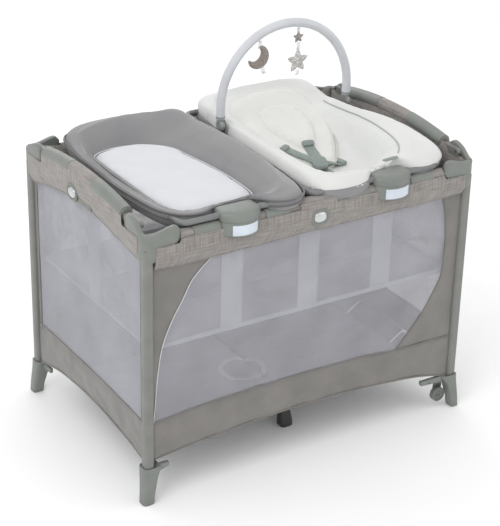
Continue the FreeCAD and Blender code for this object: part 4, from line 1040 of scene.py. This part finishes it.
changing_pad = dished("changer_white_pad", pad_edge, pad_heart,
                      [(1.6, 763), (0.9, 762), (0.4, 762), (0.06, 763), (0.0, 769), (0.01, 775),
                       (0.06, 781), (0.14, 784), (0.3, 786), (0.6, 787), (0.9, 787), (1.6, 787)],
                      crowned, white_pad, "changer", "white_pad")
plump(changing_pad, 4, 0.006, pressure=2.5)
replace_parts(changing_pad, "changer_pad")
pad_seam = [(place.x, place.y, 777.5) for place in pad_edge]
rings = tube_rings(pad_seam + pad_seam[:2], 1.6, 8)[:-1]
solid("changer_pad_seam", *loft(rings[1:], closed=True, capped=False), white_pad, "changer",
      "white_pad")
steel_tube = moulded("accessory_tube", linear(118, 119, 120), 0.4)
dress(steel_tube, "changer_frame", "napper_frame")

# ---- Clamp pods ----------------------------------------------------------------------
# Four moulded pods clamp the changing table and the lounger over the long rails. Each has
# a round front, a soft-edged cap, and a blank pale label in a shallow recess.

label_finish = moulded("blank_label", linear(206, 214, 224), 0.35)


POD_MIDDLE, POD_HALF, POD_CURVE, POD_FRONT, POD_BACK = 238, 58, 67.5, 378, 297
CURVE_MIDDLE = POD_FRONT - POD_CURVE


def pod_outline(middle, side, inset):
    """The D shape of a pod, taken in by an inset."""
    radius, half = POD_CURVE - inset, POD_HALF - inset
    sweep = math.asin(half / radius)
    places = [(middle + radius * math.sin(-sweep + 2 * sweep * step / 36),
               side * (CURVE_MIDDLE + radius * math.cos(-sweep + 2 * sweep * step / 36)))
              for step in range(37)]
    side_end = CURVE_MIDDLE + radius * math.cos(sweep)
    back_line = POD_BACK + inset
    places += [(middle + half, side * (side_end + (back_line + 6 - side_end) * step / 5))
               for step in range(1, 6)]
    places += [(middle + half - 2, side * (back_line + 2)), (middle + half - 6, side * back_line)]
    places += [(middle + (half - 6) * (1 - 2 * step / 6), side * back_line) for step in range(1, 6)]
    places += [(middle - half + 6, side * back_line), (middle - half + 2, side * (back_line + 2))]
    places += [(middle - half, side * (back_line + 6 + (side_end - back_line - 6) * step / 5))
               for step in range(0, 5)]
    return places


for owner, middle, node in (("changer", -POD_MIDDLE, "changer_pods"),
                            ("napper", POD_MIDDLE, "napper_pods")):
    for tag, side in (("front", -1), ("back", 1)):
        rings = []
        for inset, level in ((22, 731), (9, 730), (4, 732), (1, 737), (0, 745), (0, 768), (1.6, 769.5),
                             (1.8, 771.5), (0, 773), (-0.5, 778), (-0.5, 786), (1.5, 792.5),
                             (5, 796.5), (11, 798.5), (18, 799.6), (26, 800)):
            rings.append([(x, y, level) for x, y in pod_outline(middle, side, inset)])
        pod = solid("pod_%s_%s" % (owner, tag), *loft(rings), plastic, owner, "grey_plastic")
        if tag == "front":
            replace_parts(pod, node)
        rows = []
        for level in spread(737, 767, 9):
            lift = 0.9 if 738 < level < 766 else -0.6
            rows.append([(middle + (POD_CURVE + lift) * math.sin(angle),
                          side * (CURVE_MIDDLE + (POD_CURVE + lift) * math.cos(angle)), level)
                         for angle in spread(-0.57, 0.57, 24)])
        cloth_grid("pod_label_%s_%s" % (owner, tag), rows, label_finish, owner, "grey_plastic")

# ---- Newborn lounger -----------------------------------------------------------------
# A plump white cushion with a rolled rim rests on its own frame, over a grey sling. Its
# hollow slopes up to the head, and holds a soft removable insert and a small pillow.

lounger_white = solid_cloth("lounger_white", linear(214, 215, 213), linear(204, 205, 203), 0.0014, True)
insert_white = solid_cloth("insert_white", linear(215, 215, 211), linear(206, 206, 202), 0.0014, True)
grey_seam = solid_cloth("grey_seam", linear(166, 170, 166), linear(150, 154, 150), flat=True)
lounger_rim = round_outline([(4, 200), (0, 60), (-4, -100), (-6, -217), (-5, -290), (8, -330),
                             (45, -350), (100, -356), (150, -348), (190, -318), (238, -301),
                             (286, -310), (316, -334), (370, -340), (424, -318), (454, -272),
                             (467, -190), (462, -90), (440, 0), (414, 80), (401, 140), (400, 260),
                             (388, 318), (340, 343), (200, 346), (60, 342), (18, 312)], (205, -10))
lounger_well = round_outline([(26, 180), (28, 60), (30, -100), (32, -230), (52, -296), (110, -322),
                              (200, -318), (270, -300), (322, -250), (352, -170), (366, -80),
                              (366, -8), (356, 50), (346, 120), (348, 210), (322, 276), (250, 300),
                              (150, 300), (80, 282), (40, 240)], (205, -10))


def seat_level(y):
    """The lounger's seat: flat under the hips, then sloping up to the head."""
    return 716 + 78 * ease(y, -230, 330) + 0.04 * max(0.0, y + 100)


def lounger_height(place, share, level):
    """The cushion rises to a rolled head, dips at its front, and its hollow slopes."""
    head = 16 * ease(place.y, 170, 320)
    head -= 13 * math.exp(-((place.x - 238) / 75) ** 2) * ease(-place.y, 230, 300)
    if share <= 1:
        under = min(level, seat_level(place.y) - 12) if level < 780 and share > 0.5 else level
        return under + head * (level > 790) + ripple(place.x, place.y, level, 1.5, 0.006)
    if level < 780:
        return seat_level(place.y) - 14
    rim = 812 + head
    return rim + (seat_level(place.y) - rim) * ease(share, 1.0, 1.42)


cushion = dished("lounger_cushion", lounger_rim, lounger_well,
                 [(1.95, 700), (1.6, 700), (1.3, 700), (1.0, 720), (0.8, 762), (0.4, 776), (0.08, 783),
                  (0.0, 792), (-0.02, 803), (0.05, 815), (0.18, 824), (0.4, 829), (0.65, 828),
                  (0.85, 821), (0.95, 815), (1.0, 812), (1.05, 800), (1.12, 800), (1.2, 800), (1.3, 800),
                  (1.42, 800), (1.6, 800), (1.8, 800), (1.95, 800)],
                 lounger_height, lounger_white, "napper", "white_cushion")
plump(cushion, 7, 0.007, pressure=3.0)
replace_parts(cushion, "napper_cushion")
cushion_top = upper_surface(cushion)
fold_line = [(place.x, place.y, cushion_top(place.x, place.y, 812) + 0.6)
             for place in (edge.lerp(well, 0.96) for edge, well in zip(lounger_rim, lounger_well))
             if place.x > 296 and -300 < place.y < 150]
fold_line.sort(key=lambda place: place[1])
tube("lounger_fold_seam", fold_line, 2.2, grey_seam, "napper", "white_cushion", 8)

sling_rings = []
for share, level in ((0.03, 792), (0.05, 778), (0.14, 764), (0.4, 750), (0.8, 716), (1.0, 702),
                     (1.4, 696), (1.9, 696)):
    ring = []
    for edge, well in zip(lounger_rim, lounger_well):
        place = edge.lerp(well, share) if share <= 1 else well.lerp(Vector((200, -10)), share - 1)
        rise = (seat_level(place.y) - 716) * ease(share, 0.3, 1.0)
        ring.append((place.x, place.y, level + rise + ripple(place.x, place.y, level, 2.5)))
    sling_rings.append(ring)
sling = solid("lounger_sling", *loft(sling_rings, capped=False), changer_cloth, "napper",
              "changer_cloth")
thicken(sling, 1.4)
cut_cloth(sling, 0.56, 0.78)

insert_edge = round_outline([(50, 150), (62, 222), (110, 276), (182, 298), (265, 298), (322, 262),
                             (342, 190), (338, 110), (306, 20), (262, -60), (222, -108), (160, -116),
                             (104, -66), (62, 30)], (195, 90))
insert_middle = Vector((195, 90))
insert_heart = [insert_middle.lerp(place, 0.3) for place in insert_edge]


def insert_height(place, share, level):
    """The insert and the pillow lie on the slope of the seat."""
    return seat_level(place.y) + level + 5 * ease(place.y, 150, 290) + ripple(place.x, place.y, 8, 1.5)


insert = dished("lounger_insert", insert_edge, insert_heart,
                [(1.6, -2), (0.6, -2), (0.1, -2), (0.0, 5), (0.0, 12), (0.05, 18), (0.14, 21), (0.25, 20),
                 (0.5, 17), (0.8, 15), (1.2, 14), (1.6, 14)], insert_height, insert_white, "napper",
                "white_cushion")
plump(insert, 6, 0.006, pressure=3.0)
cream_seam = solid_cloth("cream_seam", linear(204, 204, 194), linear(190, 190, 180), flat=True)
insert_top = upper_surface(insert)
insert_seam = [(place.x, place.y, max(insert_top(place.x, place.y) + 0.4,
                                      insert_height(place, 0, 15)))
               for place in (edge.lerp(insert_middle, 0.04) for edge in insert_edge)]
rings = tube_rings(insert_seam + insert_seam[:2], 1.8, 8)[:-1]
solid("lounger_insert_seam", *loft(rings[1:], closed=True, capped=False), cream_seam, "napper",
      "white_cushion")
pillow_edge = round_outline([(122, 130), (140, 180), (190, 200), (246, 190), (272, 140), (262, 60),
                             (225, 0), (180, -20), (140, 20), (122, 80)], (195, 90))
pillow_heart = [insert_middle.lerp(place, 0.3) for place in pillow_edge]
pillow = dished("lounger_pillow", pillow_edge, pillow_heart,
                [(1.6, 10), (0.6, 10), (0.1, 12), (0.0, 17), (0.0, 21), (0.08, 26), (0.2, 29), (0.5, 30),
                 (0.9, 28), (1.6, 27)], insert_height, insert_white, "napper", "white_cushion")
plump(pillow, 4, 0.005, pressure=2.5)

# ---- Harness -------------------------------------------------------------------------
# Three webbing straps meet at a moulded buckle on the crotch strap; each has an adjuster
# at its end. A small blank woven tag is sewn to the rim.

webbing = woven("harness_webbing", linear(140, 150, 145), linear(116, 126, 121), 0.0022, flat=True)
buckle_plastic = moulded("buckle_plastic", linear(128, 138, 134), 0.4)


pillow_top = upper_surface(pillow)


def surface_level(x, y):
    """The height of the padding at a place in the lounger."""
    return max(cushion_top(x, y), insert_top(x, y), pillow_top(x, y))


def strap_band(name, places, width, lift):
    """A flat strap along places in plan, laid over the padding."""
    path = []
    for index in range(len(places) - 1):
        (x0, y0), (x1, y1) = places[index], places[index + 1]
        for step in range(8):
            t = step / 8
            x, y = x0 + (x1 - x0) * t, y0 + (y1 - y0) * t
            path.append(Vector((x, y, surface_level(x, y) + lift)))
    rings = []
    for index, point in enumerate(path):
        ahead = (path[min(index + 1, len(path) - 1)] - path[max(index - 1, 0)]).normalized()
        side = ahead.cross(Vector((0, 0, 1))).normalized()
        normal = side.cross(ahead)
        rings.append([point + side * u * width / 2 + normal * v * 1.6
                      for u, v in ((-1, 0), (-0.94, 1), (0, 1.15), (0.94, 1), (1, 0), (0.94, -1),
                                   (0, -0.9), (-0.94, -1))])
    return solid(name, *loft(rings), webbing, "napper", "harness_webbing"), path


def buckle(name, centre, ahead, long, wide, high):
    """A rounded moulding that lies along a direction."""
    ahead = Vector(ahead).normalized()
    side = ahead.cross(Vector((0, 0, 1))).normalized()
    normal = side.cross(ahead)
    rings = []
    for inset, rise in ((3, -0.5), (0.6, -0.42), (0, -0.1), (0, 0.25), (1.5, 0.44), (5, 0.5)):
        rings.append([Vector(centre) + ahead * u + side * v + normal * rise * high
                      for u, v, _ in square_ring(0, 0, long / 2 - inset, wide / 2 - inset, 0)])
    return solid(name, *loft(rings), buckle_plastic, "napper", "harness_webbing")


hub = (168, -102)
for tag, places in (("left", [hub, (138, -54), (108, -4)]),
                    ("crotch", [hub, (180, -56), (190, -6)]),
                    ("right", [hub, (212, -102), (250, -94)]),
                    ("front", [hub, (184, -150), (196, -196)])):
    strap, path = strap_band("harness_strap_" + tag, places, 32, 3)
    if tag == "left":
        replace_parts(strap, "napper_harness")
    sum((b - a).length for a, b in zip(path, path[1:])) * MM
    if tag != "front":
        buckle("harness_adjuster_" + tag, path[-1] + Vector((0, 0, 2)), path[-1] - path[-4], 20, 36, 9)
buckle("harness_buckle", (hub[0], hub[1], surface_level(*hub) + 8), (0.3, 1, 0.2), 52, 44, 14)
buckle("lounger_tag", (256, -306, cushion_top(256, -306, 820) + 2), (1, 0.1, 0), 52, 15, 3)

# ---- Toy arch ------------------------------------------------------------------------
# A bowed tube in a pale cloth sleeve turns on a disc at each side of the lounger. A
# stuffed moon and two stuffed stars hang from it on ribbons.

arch_cloth = solid_cloth("arch_cloth", linear(200, 202, 206), linear(184, 186, 191))
disc_plastic = moulded("arch_disc", linear(140, 146, 144), 0.4)
ARCH_LEFT, ARCH_RIGHT, ARCH_DEEP, ARCH_HINGE, ARCH_SPRING = -14, 414, 130, 820, 872
arch_middle, arch_reach = (ARCH_LEFT + ARCH_RIGHT) / 2, (ARCH_RIGHT - ARCH_LEFT) / 2
arch_path = [(ARCH_LEFT, ARCH_DEEP, 840 + 4 * step) for step in range(8)]
arch_path += [(arch_middle - arch_reach * math.cos(math.pi * step / 60), ARCH_DEEP,
               ARCH_SPRING + arch_reach * math.sin(math.pi * step / 60)) for step in range(61)]
arch_path += [(ARCH_RIGHT, ARCH_DEEP, 868 - 4 * step) for step in range(8)]
sleeve = tube("arch_sleeve", arch_path, lambda t: 12.2 + 0.7 * noise.noise((t * 60, 3, 0)), arch_cloth,
              "toy_arch", "arch_cloth", 20, False)
thicken(sleeve, 1.2)
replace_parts(sleeve, "toy_arch")
seam_path = [(x, ARCH_DEEP - 12.4, z) for x, _, z in arch_path[1:-1]]
tube("arch_seam", seam_path, 1.3, arch_cloth, "toy_arch", "arch_cloth", 6)
for tag, x in (("left", ARCH_LEFT), ("right", ARCH_RIGHT)):
    rings = []
    for depth, radius in ((-7.5, 9), (-7, 13.5), (-5.5, 16), (-3, 17), (3, 17), (5.5, 16), (7, 13.5),
                          (7.5, 9)):
        rings.append([(x + depth, ARCH_DEEP + radius * math.cos(2 * math.pi * step / 32),
                       ARCH_HINGE + radius * math.sin(2 * math.pi * step / 32))
                      for step in range(32)])
    solid("arch_disc_" + tag, *loft(rings), disc_plastic, "toy_arch", "grey_plastic")
    tube("arch_collar_" + tag, [(x, ARCH_DEEP, z) for z in (826, 832, 838, 843, 846, 848)],
         lambda t: 10 + 3.6 * ease(t, 0.2, 0.7), disc_plastic, "toy_arch", "grey_plastic", 24)

# ---- Hanging toys --------------------------------------------------------------------
# Each toy is two faces of plush cloth sewn round the edge and stuffed.


def plush(name, light, dark):
    """Short pile cloth with a mottled nap."""
    finish = Finish(name, Roughness=0.95, Sheen_Weight=0.6)
    nap = finish.noise(260, 4)
    finish.set("Base Color", finish.mix(finish.ramp(nap, 0.38, 0.62), dark, light))
    finish.bump(nap, 0.0012, 0.8)
    return finish


moon_plush = plush("moon_plush", linear(150, 142, 134), linear(112, 104, 98))
star_plush = plush("star_plush", linear(212, 210, 208), linear(150, 146, 144))
small_plush = plush("small_star_plush", linear(160, 154, 148), linear(124, 118, 113))
ribbon_cloth = solid_cloth("ribbon", linear(236, 238, 244), linear(220, 222, 230))
moon_path = [(100 + 27 * math.cos(angle - 0.35), ARCH_DEEP, 1006 + 27 * math.sin(angle - 0.35))
             for angle in (math.radians(-138 + 236 * step / 40) for step in range(41))]
moon_rings = tube_rings(moon_path, lambda t: 1.0 + 14 * math.sin(math.pi * t) ** 0.8, 20)
moon = solid("moon_stuffed", *loft(moon_rings), moon_plush, "toy_moon", "toy_plush")
for vertex in moon.data.vertices:
    vertex.co.y = ARCH_DEEP * MM + (vertex.co.y - ARCH_DEEP * MM) * 0.72
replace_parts(moon, "toy_moon")


def star(name, centre, reach, thick, finish):
    """A stuffed star: two crowned faces that meet in a sewn edge."""
    shares = (0.98, 0.8, 0.55, 0.3, 0.12, 0.03)
    profile = [(share, -1) for share in shares + (0.0,)] + [(share, 1) for share in shares[::-1]]
    rings = []
    for share, sign in profile:
        ring = []
        for step in range(70):
            angle = 2 * math.pi * step / 70
            point = abs((angle / (2 * math.pi) * 5) % 1 - 0.5) * 2
            radius = reach * (0.5 + 0.5 * point ** 1.25) * (1 - share)
            rise = thick / 2 * (1 - (1 - share) ** 2) ** 0.6
            ring.append((centre[0] + radius * math.sin(angle), centre[1] + sign * rise,
                         centre[2] + radius * math.cos(angle)))
        rings.append(ring)
    made = solid(name, *loft(rings), finish, "toy_star", "toy_plush")
    return made


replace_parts(star("star_large", (239, 130, 969), 36, 18, star_plush), "toy_star")
star("star_small", (239, 130, 1039), 18, 12, small_plush)


def ribbon(name, places, width, body):
    """A flat ribbon that hangs through places."""
    rows = [[(x + across, y, z) for across in (-width / 2, 0, width / 2)] for x, y, z in places]
    made = cloth_grid(name, rows, ribbon_cloth, body, "toy_plush", 0.8)


ribbon("moon_ribbon", [(112, 130, 1048), (111, 129, 1042), (110, 128, 1034), (108, 129, 1026)],
       10, "toy_moon")
ribbon("moon_tail", [(116, 126, 974), (118, 124, 966), (121, 125, 958), (125, 127, 951)],
       13, "toy_moon")
ribbon("star_ribbon_high", [(239, 130, 1068), (239, 131, 1062), (239, 130, 1055)], 10, "toy_star")
ribbon("star_ribbon_low", [(239, 130, 1024), (240, 131, 1014), (239, 130, 1002)], 10, "toy_star")
ribbon("star_tail", [(238, 126, 944), (237, 125, 938), (235, 126, 929)], 10, "toy_star")
